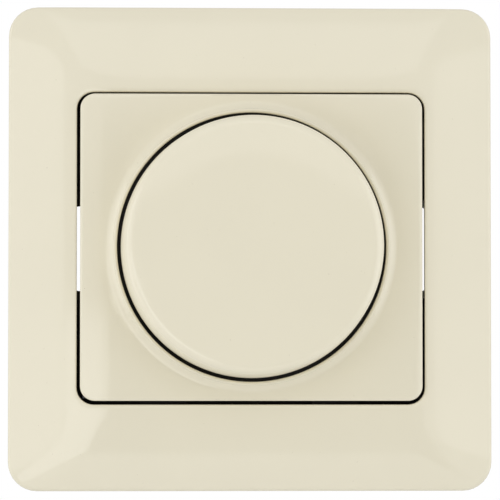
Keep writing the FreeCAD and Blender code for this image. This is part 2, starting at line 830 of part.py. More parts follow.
def make_switch_case():
    width = d.switch_width
    case = slab("switch_blank", about(0, width), (d.pot_rear, d.switch_rear), about(0, width), Size(1))
    chamber = rod("switch_chamber", d.switch_bore, (d.pot_rear + 1, d.switch_rear - d.switch_wall))
    hole = rod("switch_mouth", d.shaft_radius + 0.4, (d.pot_rear - 1, d.pot_rear + 2))
    return cut("switch_hollow", case, [chamber, hole])


def plunger_flange_rear():
    """The depth of the plunger's flange face that the spring presses on."""
    return d.pot_rear + 1 + d.running_gap + d.plunger_flange_thickness


def make_plunger():
    """Stepped plunger behind the shaft: a stem, a flange for the spring and a contact boss."""
    rear = plunger_flange_rear()
    flange = rear - d.plunger_flange_thickness
    stem = rod("plunger_stem", d.plunger_stem, (d.shaft_rear, flange))
    disc = rod("plunger_flange", d.plunger_flange, (flange, rear))
    boss = rod("plunger_boss", d.plunger_boss, (rear, rear + d.plunger_boss_height))
    return fuse("plunger_turned", [stem, disc, boss])


def make_spring():
    """Short compression spring between the plunger's flange and the switch case's rear wall."""
    room = float(d.switch_rear - d.switch_wall - plunger_flange_rear())
    wire = float(d.spring_wire)
    height = room - wire - 0.02
    helix = Part.makeHelix(height / float(d.spring_turns), height, float(d.spring_radius))
    section = Part.makeCircle(wire / 2, FreeCAD.Vector(float(d.spring_radius), 0, 0), FreeCAD.Vector(0, 1, 0))
    return Part.Wire(helix).makePipeShell([Part.Wire(section)], True, True)


# ---- knob --------------------------------------------------------------------------------------------

def make_knob():
    """Hollow knob, a little narrower in front, with a rolled edge, a D-bored stem and four ribs."""
    base, top, edge = d.knob_base, d.knob_top, d.knob_edge
    body = turned("knob_body", [
        (HERE, -top), (d.knob_radius - d.knob_draft, -top), (d.knob_radius, -base),
        (d.knob_radius - d.knob_wall, -base), (d.knob_radius - d.knob_wall, -top + d.knob_roof),
        (HERE, -top + d.knob_roof)])
    doc.recompute()
    blank = body.Tip
    rim = []
    for index, curve in enumerate(blank.Shape.Edges, 1):
        on_front = abs(curve.BoundBox.YMax + float(top)) < 1e-4
        if on_front and curve.BoundBox.XLength > float(d.knob_radius):
            rim.append(f"Edge{index}")
    roll = body.newObject("PartDesign::Fillet", "knob_roll")
    roll.Base = (blank, rim)
    bind(roll, Radius=edge)
    roof = -top + d.knob_roof - 0.2
    stem = rod("knob_stem", d.knob_stem_radius, (roof, -d.knob_stem_end))
    across = about(0, 2 * (d.knob_radius - d.knob_wall) + 0.4)
    thick = about(0, d.knob_rib)
    ribs = [block("knob_rib_x", across, (roof, -d.knob_rib_end), thick),
            block("knob_rib_z", thick, (roof, -d.knob_rib_end), across)]
    solid = fuse("knob_solid", [body, stem] + ribs)
    flat = d.shaft_flat + d.running_gap + d.clip_thickness
    return cut("knob_bored", solid, [d_bore("knob", (-d.shaft_front - 0.1, -d.knob_stem_end + 1), flat)])


def make_knob_clip():
    """Leaf of spring steel between the shaft's flat and the stem."""
    low = d.shaft_flat + d.running_gap
    return block("clip_leaf", about(0, 2 * d.clip_half_width), (-d.clip_front, -d.clip_rear),
                 (low, low + d.clip_thickness))


# ---- circuit board and its parts -----------------------------------------------------------------------

def make_board():
    span = (d.switch_rear, d.switch_rear + d.board_thickness)
    board = slab("board_blank", about(0, d.board_width), span, about(0, d.board_height), Size(3))
    through = (span[0] - 1, span[1] + 1)
    row = about(d.pot_width / 2 + d.pin_reach + d.pin_steel / 2, d.pin_steel + 0.4)
    holes = [block("pin_hole", about(number * d.pin_pitch, d.pin_width + 0.4), through, row)
             for number in (-1, 0, 1)]
    return cut("board_cut", board, holes)


def make_heat_sink():
    """Bent aluminium angle beside the triac."""
    face = d.switch_rear + d.board_thickness
    near, far = d.sink_near, d.sink_near + d.sink_metal
    plate = block("sink_plate", (near, far), (face, d.sink_rear), (d.sink_low, d.sink_high))
    foot = block("sink_foot", (d.sink_foot_near, near + 0.2), (face, face + d.sink_metal),
                 (d.sink_foot_low, d.sink_foot_high))
    hole = bar("sink_hole", d.triac_screw_radius, (near - 1, far + 1), d.triac_screw_y, d.triac_screw_z)
    return cut("sink_drilled", fuse("sink_bent", [plate, foot]), [hole])


def make_triac():
    """Three-legged power package: moulded body, metal tab and legs to the board."""
    face = d.switch_rear + d.board_thickness
    back = d.triac_near + d.triac_thickness
    depth = (d.triac_front, d.triac_rear)
    moulding = block("triac_moulding", (d.triac_near, back), depth, (d.triac_low, d.triac_high))
    tab = block("triac_tab", (back, back + d.triac_tab_thickness), depth, (d.triac_low, d.triac_tab_high))
    legs = []
    across = about(d.triac_leg_x, d.triac_leg_thickness)
    for step in range(3):
        y = d.triac_leg_y + step * d.triac_leg_pitch
        bend = d.triac_low - d.triac_leg_drop - step * d.triac_leg_step
        legs.append(block("triac_leg", across, about(y, d.triac_leg_width), (bend, d.triac_low)))
        legs.append(block("triac_foot", across, (face, y + d.triac_leg_width / 2),
                          (bend - d.triac_leg_thickness, bend)))
    hole = bar("triac_hole", d.triac_screw_radius, (back - 1, back + d.triac_tab_thickness + 1),
               d.triac_screw_y, d.triac_screw_z)
    return cut("triac_drilled", fuse("triac_whole", [moulding, tab] + legs), [hole])


def make_triac_screw():
    """Pan-head screw through the triac's tab into the heat sink."""
    face = d.triac_near + d.triac_thickness
    shank = bar("triac_shank", d.triac_screw_radius, (face, d.triac_screw_end),
                d.triac_screw_y, d.triac_screw_z)
    head = bar("triac_head", d.triac_screw_head, (face - d.triac_screw_head_height, face),
               d.triac_screw_y, d.triac_screw_z)
    return fuse("triac_screw_whole", [shank, head])


def make_choke_core():
    ring = doc.addObject("Part::Torus", "choke_ring")
    bind(ring, Radius1=d.choke_ring, Radius2=d.choke_section)
    return put(ring, d.choke_x, d.choke_y, d.choke_z, TOWARDS_WALL)


def make_choke_winding():
    """Turns of enamelled wire round the ring core, each a closed loop."""
    turns = []
    centre = FreeCAD.Vector(float(d.choke_x), float(d.choke_y), float(d.choke_z))
    loop_radius = float(d.choke_section) + float(d.choke_wire) + 0.02
    for number in range(int(float(d.choke_turns))):
        angle = 2 * math.pi * (number + 0.5) / (float(d.choke_turns) + 2)
        outward = FreeCAD.Vector(math.cos(angle), 0, math.sin(angle))
        along = FreeCAD.Vector(-math.sin(angle), 0, math.cos(angle))
        loop = Part.makeTorus(loop_radius, float(d.choke_wire), centre + outward * float(d.choke_ring), along)
        turns.append(loop)
    return Part.makeCompound(turns)


def make_fuse_glass():
    """Glass tube of the cartridge fuse, lying across the board."""
    span = (d.fuse_left + d.fuse_cap, d.fuse_right - d.fuse_cap)
    return bar("fuse_tube", d.fuse_radius - 0.15, span, d.fuse_y, d.fuse_z)


def make_fuse_caps():
    """A metal cap at each end of the tube."""
    ends = ((d.fuse_left, d.fuse_left + d.fuse_cap), (d.fuse_right - d.fuse_cap, d.fuse_right))
    return group("fuse_caps_set", [bar("fuse_cap", d.fuse_radius, span, d.fuse_y, d.fuse_z) for span in ends])


def make_fuse_clips():
    """Spring clips that hold the fuse's caps."""
    clips = []
    face = d.switch_rear + d.board_thickness
    for x in (d.fuse_left + 2.4, d.fuse_right - 2.4):
        saddle = block("clip_saddle", about(x, d.fuse_clip), (face, d.fuse_y + 1.2),
                       about(d.fuse_z, 2 * (d.fuse_radius + d.fuse_clip_side)))
        trough = bar("clip_trough", d.fuse_radius + d.running_gap, about(x, d.fuse_cap), d.fuse_y, d.fuse_z)
        mouth = block("clip_mouth", about(x, d.fuse_cap), (d.fuse_y, d.fuse_y + 3),
                      about(d.fuse_z, 2 * d.fuse_radius))
        clips.append(cut("fuse_clip", saddle, [trough, mouth]))
    return group("fuse_clip_set", clips)


def make_film_capacitor(name, x, z, rear):
    """A boxed film capacitor that stands on the board, from its two spans and its rear face."""
    face = d.switch_rear + d.board_thickness
    across, height = (Size(x[0]), Size(x[1])), (Size(z[0]), Size(z[1]))
    return slab(name, across, (face, Size(rear)), height, d.capacitor_corner)


def make_resistors():
    """Axial resistors lying on the board, a barrel and two bent leads each."""
    face = d.switch_rear + d.board_thickness
    lie = face + d.resistor_lift
    left, right = d.resistor_left, d.resistor_left + d.resistor_length
    resistors = []
    for z in (4.5, 7.5, 13.0):
        barrel = bar("resistor_barrel", d.resistor_radius, (left, right), lie, z)
        leads = []
        for inner, outer in ((left, left - d.resistor_lead_length), (right, right + d.resistor_lead_length)):
            leads.append(bar("resistor_lead", d.resistor_lead, between(inner, outer), lie, z))
            leads.append(rod("resistor_foot", d.resistor_lead + 0.08, (face, lie + 0.45), outer, z))
        resistors.append(fuse("resistor", [barrel] + leads))
    return group("resistor_set", resistors)


def make_diac():
    """Small axial trigger diode beside the resistors."""
    face = d.switch_rear + d.board_thickness
    lie = face + d.diac_lift
    left, right = d.diac_left, d.diac_left + d.diac_length
    ends = (left - d.diac_lead_length, right + d.diac_lead_length)
    barrel = bar("diac_barrel", d.diac_radius, (left, right), lie, d.diac_z)
    leads = bar("diac_leads", d.diac_lead, ends, lie, d.diac_z)
    feet = [rod("diac_foot", d.diac_lead + 0.08, (face, lie + 0.45), x, d.diac_z) for x in ends]
    return fuse("diac_whole", [barrel, leads] + feet)


# ---- terminals -----------------------------------------------------------------------------------------

def make_terminal(number, x):
    """Brass cage, pressure plate and grub screw of one terminal."""
    low, high = about(d.terminal_centre, d.terminal_height)
    front, rear, wall = d.terminal_front, d.terminal_rear, d.terminal_wall
    shell = block("cage_blank", about(x, d.terminal_width), (front, rear), (low, high))
    across = about(x, d.terminal_width - 2 * wall)
    way = block("cage_way", across, (front + wall, rear - wall), (low - 1, high + 1))
    thread = rod("cage_thread", d.terminal_screw_radius + d.running_gap, (rear - 2, rear + 1),
                 x, d.terminal_centre)
    foot = block("cage_foot", about(x, d.terminal_foot), (d.switch_rear + d.board_thickness, front + 0.2),
                 about(d.terminal_centre, d.terminal_foot))
    node(f"terminal_cage_{number}", cut("cage", fuse("cage_footed", [shell, foot]), [way, thread]))
    plate = block("clamp_plate", about(x, d.terminal_width - 2 * wall - 0.2),
                  (d.clamp_front, d.clamp_front + d.clamp_thickness), (low + 0.2, high - 0.2))
    cut_in = (d.clamp_front - 1, d.clamp_front + d.clamp_groove_depth)
    grooves = [block("clamp_groove", about(x, d.terminal_width), cut_in,
                     about(low + number * d.clamp_groove_pitch, d.clamp_groove)) for number in (1, 2, 3, 4)]
    node(f"terminal_clamp_{number}", cut("clamp", plate, grooves))
    span = (d.clamp_front + d.clamp_thickness, d.terminal_screw_rear)
    shank = rod("grub_shank", d.terminal_screw_radius, span, x, d.terminal_centre)
    slot = block("grub_slot", about(x, 3 * d.terminal_screw_radius),
                 (d.terminal_screw_rear - d.terminal_slot_depth, d.terminal_screw_rear + 1),
                 about(d.terminal_centre, d.terminal_slot_width))
    node(f"terminal_screw_{number}", cut("grub", shank, [slot]))


# ---- claws ---------------------------------------------------------------------------------------------

def make_claw_set(name, side):
    """Screw, travelling nut, pin and toothed arm of one claw."""
    x, front = side * d.claw_screw_x, -d.support_steel
    head = rod("claw_head", d.claw_screw_head, (front - d.claw_screw_head_height, front), x)
    shank = rod("claw_shank", d.claw_screw_radius, (front, d.claw_screw_rear), x)
    top = front - d.claw_screw_head_height
    slot = block("claw_slot", about(x, 2.2 * d.claw_screw_head), (top - 1, top + d.claw_slot_depth),
                 about(0, d.claw_slot_width))
    node(f"claw_screw_{name}", cut("claw_screw", fuse("claw_screw_blank", [head, shank]), [slot]))

    travel = (d.claw_nut_front, d.claw_nut_front + d.claw_nut_length)
    nut = block("claw_nut", between(side * d.claw_nut_inner, side * d.claw_nut_outer), travel,
                (-d.claw_nut_half, d.claw_nut_half))
    thread = rod("claw_nut_thread", d.claw_screw_radius + d.running_gap, (travel[0] - 1, travel[1] + 1), x)
    node(f"claw_nut_{name}", cut("claw_nut_tapped", nut, [thread]))

    half, pin_x, pin_y = d.claw_half, side * d.claw_pin_x, d.claw_pin_depth
    ear_end = d.ear_start + d.ear_steel + 0.4
    node(f"claw_pin_{name}", upright("claw_pin", d.claw_pin_radius, (-ear_end, ear_end), pin_x, pin_y))

    inner, outer = d.claw_inner, d.claw_inner + d.claw_steel
    arm = block("claw_arm", between(side * inner, side * outer), (pin_y, d.claw_rear), (-half, half))
    knuckle = upright("claw_knuckle", d.claw_knuckle, (-half, half), pin_x, pin_y)
    reach = between(side * (outer - 0.2), side * (outer + d.claw_tooth_height))
    rows = [d.claw_tooth_first + number * d.claw_tooth_pitch for number in range(3)]
    teeth = [block("claw_tooth", reach, about(y, d.claw_tooth_width), (-half, half)) for y in rows]
    notch = block("claw_notch", between(side * (inner - 4), side * inner), (Size(1), pin_y + 2),
                  about(0, d.claw_notch))
    bore = upright("claw_bore", d.claw_pin_radius, (-half - 1, half + 1), pin_x, pin_y)
    node(f"claw_{name}", cut("claw", fuse("claw_blank", [arm, knuckle] + teeth), [notch, bore]))


# ---- the assembly --------------------------------------------------------------------------------------

node("cover_frame", formed("CoverFrame", make_cover_frame(), -d.frame_play_x, 0, -d.frame_play_z))
node("centre_plate", formed("CentrePlate", make_centre_plate()))
node("support_plate", make_support())
node("mechanism_housing", make_housing())
node("housing_screws", make_housing_screws())
node("insulation_sheet", make_insulation())

node("potentiometer_case", make_pot_case())
node("potentiometer_bush", make_bush())
node("bush_washer", make_washer())
node("bush_nut", make_nut())
node("resistance_track", make_track())
node("potentiometer_wiper", make_wiper())
node("potentiometer_pins", make_pot_pins())
node("switch_case", make_switch_case())
node("switch_plunger", make_plunger())
spring_front = plunger_flange_rear() + d.spring_wire / 2 + 0.01
node("switch_spring", formed("SwitchSpring", make_spring(), 0, spring_front, 0, TOWARDS_WALL))

node("control_shaft", make_shaft())
node("rotary_knob", make_knob())
node("knob_clip", make_knob_clip())

node("circuit_board", make_board())
node("heat_sink", make_heat_sink())
node("triac", make_triac())
node("triac_screw", make_triac_screw())
node("choke_core", make_choke_core())
node("choke_winding", formed("ChokeWinding", make_choke_winding()))
node("fuse_glass", make_fuse_glass())
node("fuse_caps", make_fuse_caps())
node("fuse_clips", make_fuse_clips())
node("suppression_capacitor", make_film_capacitor("suppressor", (-17.4, -1.4), (-5.2, 1.6), 23.4))
node("timing_capacitor", make_film_capacitor("timing", (2.6, 9.4), (-4.6, -1.6), 19.0))
node("resistors", make_resistors())
node("diac", make_diac())

for terminal, place in enumerate(terminal_places(), 1):
    make_terminal(terminal, place)
for side_name, direction in SIDES:
    make_claw_set(side_name, direction)

doc.recompute()
failed = [thing.Name for thing in doc.Objects if {"Invalid", "Error"} & set(thing.State)]
if failed:
    raise RuntimeError(f"failed features: {failed}")
os.makedirs("parts", exist_ok=True)
for piece in pieces:
    shape = piece.Shape
    if shape.isNull() or not shape.isValid() or not shape.Solids:
        raise RuntimeError(f"{piece.Label} has no valid solid")
    shape.exportStep(f"parts/{piece.Label}.step")
    box = shape.optimalBoundingBox(False)
    print(f"{piece.Label:24s} solids {len(shape.Solids):2d}  volume {shape.Volume:9.1f}",
          f"x {box.XMin:7.2f} {box.XMax:7.2f}  y {box.YMin:7.2f} {box.YMax:7.2f}",
          f"z {box.ZMin:7.2f} {box.ZMax:7.2f}")
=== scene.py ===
# %% [markdown]
# # A rotary push dimmer
#
# This lesson dresses a finished design of a flush wall dimmer: a square cover frame, a centre plate with a
# raised collar, and a round knob. The design is a fixed frame of steel, moulded and brass parts that already
# fit and move. Blender adds what a user sees: soft moulded edges, gloss, and the right finish on every part.
#
# The first cell loads the design. Everything after it is placed from the design's own sizes, in metres,
# with -Y towards the user and +Z up.

# %% Load the design
import math

import bpy
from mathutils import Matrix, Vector


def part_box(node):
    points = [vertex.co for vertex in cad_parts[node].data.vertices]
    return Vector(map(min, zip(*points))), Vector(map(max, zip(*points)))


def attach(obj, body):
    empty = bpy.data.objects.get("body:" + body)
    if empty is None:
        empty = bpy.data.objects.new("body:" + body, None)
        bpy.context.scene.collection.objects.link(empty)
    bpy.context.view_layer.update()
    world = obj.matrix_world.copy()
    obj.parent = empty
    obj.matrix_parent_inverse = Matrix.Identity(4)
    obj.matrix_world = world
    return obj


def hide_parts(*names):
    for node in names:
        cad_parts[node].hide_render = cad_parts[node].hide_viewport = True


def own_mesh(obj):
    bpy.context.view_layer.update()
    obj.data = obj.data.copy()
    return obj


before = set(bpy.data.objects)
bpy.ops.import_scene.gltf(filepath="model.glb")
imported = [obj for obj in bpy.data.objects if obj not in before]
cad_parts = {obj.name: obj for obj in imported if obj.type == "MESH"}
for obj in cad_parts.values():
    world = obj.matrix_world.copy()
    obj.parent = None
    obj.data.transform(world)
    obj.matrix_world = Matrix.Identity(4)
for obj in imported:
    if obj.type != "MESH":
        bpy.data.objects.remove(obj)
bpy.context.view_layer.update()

MM = 0.001
print("nodes in the design:", len(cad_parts))

# %% [markdown]
# ## Shader arithmetic
#
# A finish is mostly small sums: a noise, less a half, times a strength. Written as nodes by hand, such sums
# hide what they mean, so one small class wraps a socket and lets Python's own signs add the Math nodes.
# Every other node comes from one method that takes its type, its settings and what goes into its sockets.

# %% A wrapped socket and a finish
class Field:
    """A value that varies over a surface."""

    def __init__(self, finish, socket):
        self.finish = finish
        self.socket = socket

    def math(self, operation, *values):
        return self.finish.node("ShaderNodeMath", {"operation": operation}, dict(enumerate(values)))

    def __add__(self, other):
        return self.math("ADD", self, other)

    def __sub__(self, other):
        return self.math("SUBTRACT", self, other)

    def __rsub__(self, other):
        return self.math("SUBTRACT", other, self)

    def __mul__(self, other):
        return self.math("MULTIPLY", self, other)

    def size(self):
        """The field without its sign."""
        return self.math("ABSOLUTE", self)

    def root(self):
        return self.math("SQRT", self)

    def sine(self):
        return self.math("SINE", self)

    def above(self, edge):
        """1 where the field is over an edge, 0 elsewhere."""
        return self.math("GREATER_THAN", self, edge)

    def below(self, edge):
        return self.math("LESS_THAN", self, edge)

    def ramp(self, low, high):
        """0 below low and 1 above high, with a smooth rise between."""
        settings = {"interpolation_type": "SMOOTHSTEP"}
        sockets = {"Value": self, "From Min": low, "From Max": high}
        return self.finish.node("ShaderNodeMapRange", settings, sockets)

    __radd__ = __add__
    __rmul__ = __mul__


class Finish:
    """A material of one Principled shader and the nodes that feed it."""

    def __init__(self, name, roughness=0.4, metallic=0.0, ior=1.5, coat=0.0):
        self.material = bpy.data.materials.new(name)
        self.material.use_nodes = True
        self.tree = self.material.node_tree
        self.shader = self.tree.nodes["Principled BSDF"]
        for socket, value in (("Roughness", roughness), ("Metallic", metallic), ("IOR", ior),
                              ("Coat Weight", coat)):
            self.shader.inputs[socket].default_value = value
        self.place = self.node("ShaderNodeTexCoord", {}, {}, "Object")
        print("finish:", name)

    def node(self, kind, settings, inputs, output=0):
        made = self.tree.nodes.new(kind)
        for name, value in settings.items():
            setattr(made, name, value)
        for socket, value in inputs.items():
            if isinstance(value, Field):
                self.tree.links.new(value.socket, made.inputs[socket])
            else:
                made.inputs[socket].default_value = value
        return Field(self, made.outputs[output])

    def feed(self, socket, value):
        """Send a field to a socket of the shader."""
        self.tree.links.new(value.socket, self.shader.inputs[socket])

    def noise(self, scale, detail=3.0, stretch=(1, 1, 1), roughness=0.55):
        """A cloudy pattern from 0 to 1; scale is how many clouds fit in a metre."""
        place = self.node("ShaderNodeMapping", {}, {"Vector": self.place, "Scale": stretch})
        sockets = {"Vector": place, "Scale": scale, "Detail": detail, "Roughness": roughness}
        return self.node("ShaderNodeTexNoise", {}, sockets)

    def blend(self, factor, first, second):
        """A colour between two others."""
        sockets = {0: factor, 6: (*first, 1) if isinstance(first, tuple) else first,
                   7: (*second, 1) if isinstance(second, tuple) else second}
        return self.node("ShaderNodeMix", {"data_type": "RGBA"}, sockets, 2)

    def relief(self, height, depth, edge=0.0):
        """Raise the surface by a field, depth in metres, on edges rounded to a small radius."""
        sockets = {"Height": height, "Distance": depth, "Strength": 1.0}
        if edge:
            sockets["Normal"] = self.node("ShaderNodeBevel", {"samples": 6}, {"Radius": edge})
        self.feed("Normal", self.node("ShaderNodeBump", {}, sockets))

    def axis(self, name):
        """One coordinate of the place on the object, in metres."""
        return self.node("ShaderNodeSeparateXYZ", {}, {"Vector": self.place}, name)


# %% [markdown]
# ## Modelling helpers
#
# Blender's operators act on whatever is selected, so each piece starts from nothing selected and picks its
# edges by place. These helpers only wrap that habit: pick by a rule, add a block or a bar, apply a modifier,
# join shells, turn faces outwards, and let a finished piece stand for a part of the design.

# %% Selection, modifiers and finishing
def clear_selection():
    if bpy.context.mode != "OBJECT":
        bpy.ops.object.mode_set(mode="OBJECT")
    bpy.ops.object.select_all(action="DESELECT")


def pick_edges(piece, rule):
    """Select the edges whose two ends a rule accepts, and stay in edit mode."""
    bpy.ops.object.mode_set(mode="EDIT")
    bpy.ops.mesh.select_mode(type="EDGE")
    bpy.ops.mesh.select_all(action="DESELECT")
    bpy.ops.object.mode_set(mode="OBJECT")
    points = piece.data.vertices
    for edge in piece.data.edges:
        edge.select = bool(rule(points[edge.vertices[0]].co, points[edge.vertices[1]].co))
    bpy.ops.object.mode_set(mode="EDIT")


def apply_place(piece):
    """Put the piece's place, turn and size into its mesh."""
    clear_selection()
    piece.select_set(True)
    bpy.context.view_layer.objects.active = piece
    bpy.ops.object.transform_apply(location=True, rotation=True, scale=True)


def modify(piece, kind, **settings):
    """Add a modifier, set it up and apply it."""
    clear_selection()
    bpy.context.view_layer.objects.active = piece
    modifier = piece.modifiers.new(kind.title(), kind)
    for name, value in settings.items():
        setattr(modifier, name, value)
    bpy.ops.object.modifier_apply(modifier=modifier.name)


def outward(piece):
    """Merge doubles and turn every face outwards."""
    clear_selection()
    bpy.context.view_layer.objects.active = piece
    bpy.ops.object.mode_set(mode="EDIT")
    bpy.ops.mesh.select_all(action="SELECT")
    bpy.ops.mesh.remove_doubles(threshold=0.002 * MM)
    bpy.ops.mesh.normals_make_consistent(inside=False)
    bpy.ops.object.mode_set(mode="OBJECT")


def smooth(piece, degrees=35):
    clear_selection()
    piece.select_set(True)
    bpy.context.view_layer.objects.active = piece
    bpy.ops.object.shade_smooth_by_angle(angle=math.radians(degrees))


def joined(name, parts):
    """One piece made of several shells."""
    clear_selection()
    for part in parts:
        part.select_set(True)
    bpy.context.view_layer.objects.active = parts[0]
    if len(parts) > 1:
        bpy.ops.object.join()
    piece = bpy.context.view_layer.objects.active
    piece.name = name
    piece.data.name = name
    return piece


def block(low, high):
    """A box between two corners."""
    clear_selection()
    low, high = Vector(low), Vector(high)
    bpy.ops.mesh.primitive_cube_add(size=1, location=(low + high) / 2)
    box = bpy.context.object
    box.scale = high - low
    apply_place(box)
    return box


def round_bar(radius, start, end, sides=48):
    """A cylinder between two points."""
    clear_selection()
    start, end = Vector(start), Vector(end)
    way = end - start
    bpy.ops.mesh.primitive_cylinder_add(vertices=sides, radius=radius, depth=way.length,
                                        location=(start + end) / 2,
                                        rotation=way.to_track_quat("Z", "Y").to_euler())
    bar = bpy.context.object
    apply_place(bar)
    return bar


def carve(piece, cutters):
    """Cut other meshes out of a piece and discard them."""
    for cutter in cutters:
        modify(piece, "BOOLEAN", operation="DIFFERENCE", object=cutter, solver="EXACT")
        bpy.data.objects.remove(cutter)


def show(piece, body, node, finish):
    """Let a piece stand for a node of the design."""
    piece.data.materials.clear()
    piece.data.materials.append(finish.material)
    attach(piece, body)
    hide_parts(node)
    print(f"{piece.name}: {len(piece.data.polygons)} faces")


# %% [markdown]
# ## Ivory plastic
#
# The visible mouldings are one colour of glossy urea plastic. A real moulding isn't a perfect mirror: the
# tool leaves a faint waviness, the pigment clouds a little, and handling leaves dull patches and specks of
# dust. Each is a noise at its own scale, kept so weak that only the highlights show it. Deep in the gaps
# round the centre plate and the knob, a painted shade turns the colour near black and dulls the gloss, so
# the gaps stay dark. The knob's side has a fine texture for grip, so it doesn't mirror the gap beneath it.

# %% The finish of the mouldings
GAP_X, GAP_Z = 30.25 * MM, 27.15 * MM
PLATE_X, PLATE_Z = 29.0 * MM, 25.95 * MM
WELL_REACH = 24.0 * MM
# Painted shade in the gaps starts at these depths, round the plate and in the knob's well.
GAP_SHADE_FRONT = -7.5 * MM
WELL_SHADE_FRONT = -9.5 * MM
KNOB_SIDE_FRONT = -20.1 * MM
# The near-black colour of the painted shade in the gaps.
GAP_SHADE_COLOUR = (0.030, 0.026, 0.020)


def within(finish, half_x, half_z):
    """1 inside an upright rectangle about the knob's axis, 0 outside it."""
    return finish.axis("X").size().below(half_x) * finish.axis("Z").size().below(half_z)


def painted_shade_in_gaps(finish):
    """Painted shade: 0 on the open surfaces, 1 deep in the gap round the plate and in the one round the knob.
    """
    x, z = finish.axis("X"), finish.axis("Z")
    in_well = (x * x + z * z).root().below(WELL_REACH)
    start = in_well * (WELL_SHADE_FRONT - GAP_SHADE_FRONT) + GAP_SHADE_FRONT
    return (finish.axis("Y") - start).ramp(0.0, MM) * within(finish, GAP_X, GAP_Z)


def ivory_finish(name, tint, waviness, side_texture=0.0):
    """Glossy urea; a side texture above 0 dulls the knob's side, starting within its rolled edge."""
    finish = Finish(name, roughness=0.2, ior=1.5)
    cloud = finish.noise(60, 2.0)
    haze = finish.noise(320, 4.0)
    speck = finish.noise(2600, 1.0).ramp(0.795, 0.83)
    gap_shade = painted_shade_in_gaps(finish)
    pale = tuple(min(1.0, c * 1.015) for c in tint)
    deep = tuple(c * 0.985 for c in tint)
    dusty = finish.blend(speck * 0.35, finish.blend(cloud, deep, pale), (0.32, 0.25, 0.15))
    # Painted shade: deep in the gaps the colour is blended to near black and the gloss is dulled.
    finish.feed("Base Color", finish.blend(gap_shade, dusty, GAP_SHADE_COLOUR))
    gloss = 0.03 + cloud * 0.02 + haze * 0.03 + speck * 0.2 + gap_shade * 0.6
    if side_texture:
        gloss = gloss + (finish.axis("Y") - KNOB_SIDE_FRONT).ramp(0.0, 0.6 * MM) * side_texture
    finish.feed("Roughness", gloss)
    wave = finish.noise(110, 2.0)
    grain = finish.noise(5000, 2.0)
    finish.relief(wave + grain * 0.03, waviness)
    return finish


IVORY = (0.82, 0.770, 0.614)
moulded_ivory = ivory_finish("ivory_moulding", IVORY, 0.002 * MM)
knob_ivory = ivory_finish("ivory_knob", tuple(c * 1.03 for c in IVORY), 0.005 * MM, 0.4)

# %% [markdown]
# ## The soft front
#
# The frame's front is flat only near the opening. Left and right it falls back as flat cheeks; above and
# below it rolls back like a cushion. Where a cheek meets a roll, a soft crease runs to the corner. One
# formula gives all of it: two falls, blended so that the larger one wins. The centre plate shares it.

# %% Sizes read from the design, and the formula
frame_low, frame_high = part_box("cover_frame")
frame_middle = (frame_low + frame_high) / 2
knob_low, knob_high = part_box("rotary_knob")

CHEEK_SLOPE, CHEEK_START = 0.27, 28.5 * MM
ROLL_START, ROLL_LENGTH = 27 * MM, 70 * MM
FRAME_HALF = (frame_high.x - frame_low.x) / 2
FRAME_FACE = 8.5 * MM
PLATE_FACE = 9.3 * MM
STEEL_FRONT = -1.2 * MM


def shoulder(distance, start, softness=2.5 * MM):
    past = distance - start
    return (past + math.hypot(past, softness)) / 2


def front_drop(x, z):
    """How far the front falls back at a place."""
    cheek = CHEEK_SLOPE * shoulder(abs(x), CHEEK_START)
    roll = shoulder(abs(z), ROLL_START) ** 2 / ROLL_LENGTH
    return (cheek ** 3 + roll ** 3) ** (1 / 3)


print("corner of the frame falls back", round(front_drop(FRAME_HALF, FRAME_HALF) / MM, 2), "mm")

# %% [markdown]
# ## Rounded outlines
#
# The frame and the plate are rounded rectangles, inside and out. Each outline starts as a plane: its corners
# are bevelled as vertices and its straight sides are divided, so every outline has the same number of points.
# Any two of them then bridge into clean quads, and a ring on one outline can be moved onto another.

# %% An outline, its loop of edges, and bands between loops
CORNER_STEPS = 8
LONG_STEPS = 44
SHORT_STEPS = 38
ON_LINE = 0.02 * MM


class Outline:
    """A rounded rectangle about the Y axis, from its half sizes and its corner radius."""

    def __init__(self, half_x, half_z, corner):
        self.corner = corner
        self.straight = Vector((half_x - corner, 0, half_z - corner))

    def grown(self, amount):
        half = self.straight + Vector((1, 0, 1)) * (self.corner + amount)
        return Outline(half.x, half.z, self.corner + amount)

    def nearest(self, place):
        """The point of the inner rectangle, through the corners' centres, that is nearest to a place."""
        x = max(-self.straight.x, min(self.straight.x, place.x))
        z = max(-self.straight.z, min(self.straight.z, place.z))
        return Vector((x, 0, z))

    def holds(self, place):
        away = Vector((place.x, 0, place.z)) - self.nearest(place)
        return abs(away.length - self.corner) < ON_LINE

    def match(self, place, other):
        """Where a point of this outline lies on another one."""
        inner = self.nearest(place)
        away = Vector((place.x, 0, place.z)) - inner
        share = Vector((inner.x / self.straight.x * other.straight.x, 0,
                        inner.z / self.straight.z * other.straight.z))
        return share + away * (other.corner / self.corner)

    def loop(self):
        """The outline as a closed loop of edges with no face."""
        clear_selection()
        bpy.ops.mesh.primitive_plane_add(size=2, rotation=(math.radians(90), 0, 0))
        rim = bpy.context.object
        rim.scale = (self.straight.x + self.corner, self.straight.z + self.corner, 1)
        apply_place(rim)
        bpy.ops.object.mode_set(mode="EDIT")
        bpy.ops.mesh.select_all(action="SELECT")
        bpy.ops.mesh.bevel(affect="VERTICES", offset=self.corner, segments=CORNER_STEPS, profile=0.5)
        bpy.ops.mesh.delete(type="ONLY_FACE")
        for axis, steps in (("x", LONG_STEPS), ("z", SHORT_STEPS)):
            length = 2 * getattr(self.straight, axis)
            pick_edges(rim, lambda a, b: abs(abs(getattr(a, axis) - getattr(b, axis)) - length) < ON_LINE)
            bpy.ops.mesh.subdivide(number_cuts=steps - 1)
        bpy.ops.object.mode_set(mode="OBJECT")
        return rim


def front_point(place, face):
    """A place laid on the soft front whose flat middle stands at a given height."""
    return Vector((place.x, front_drop(place.x, place.z) - face, place.z))


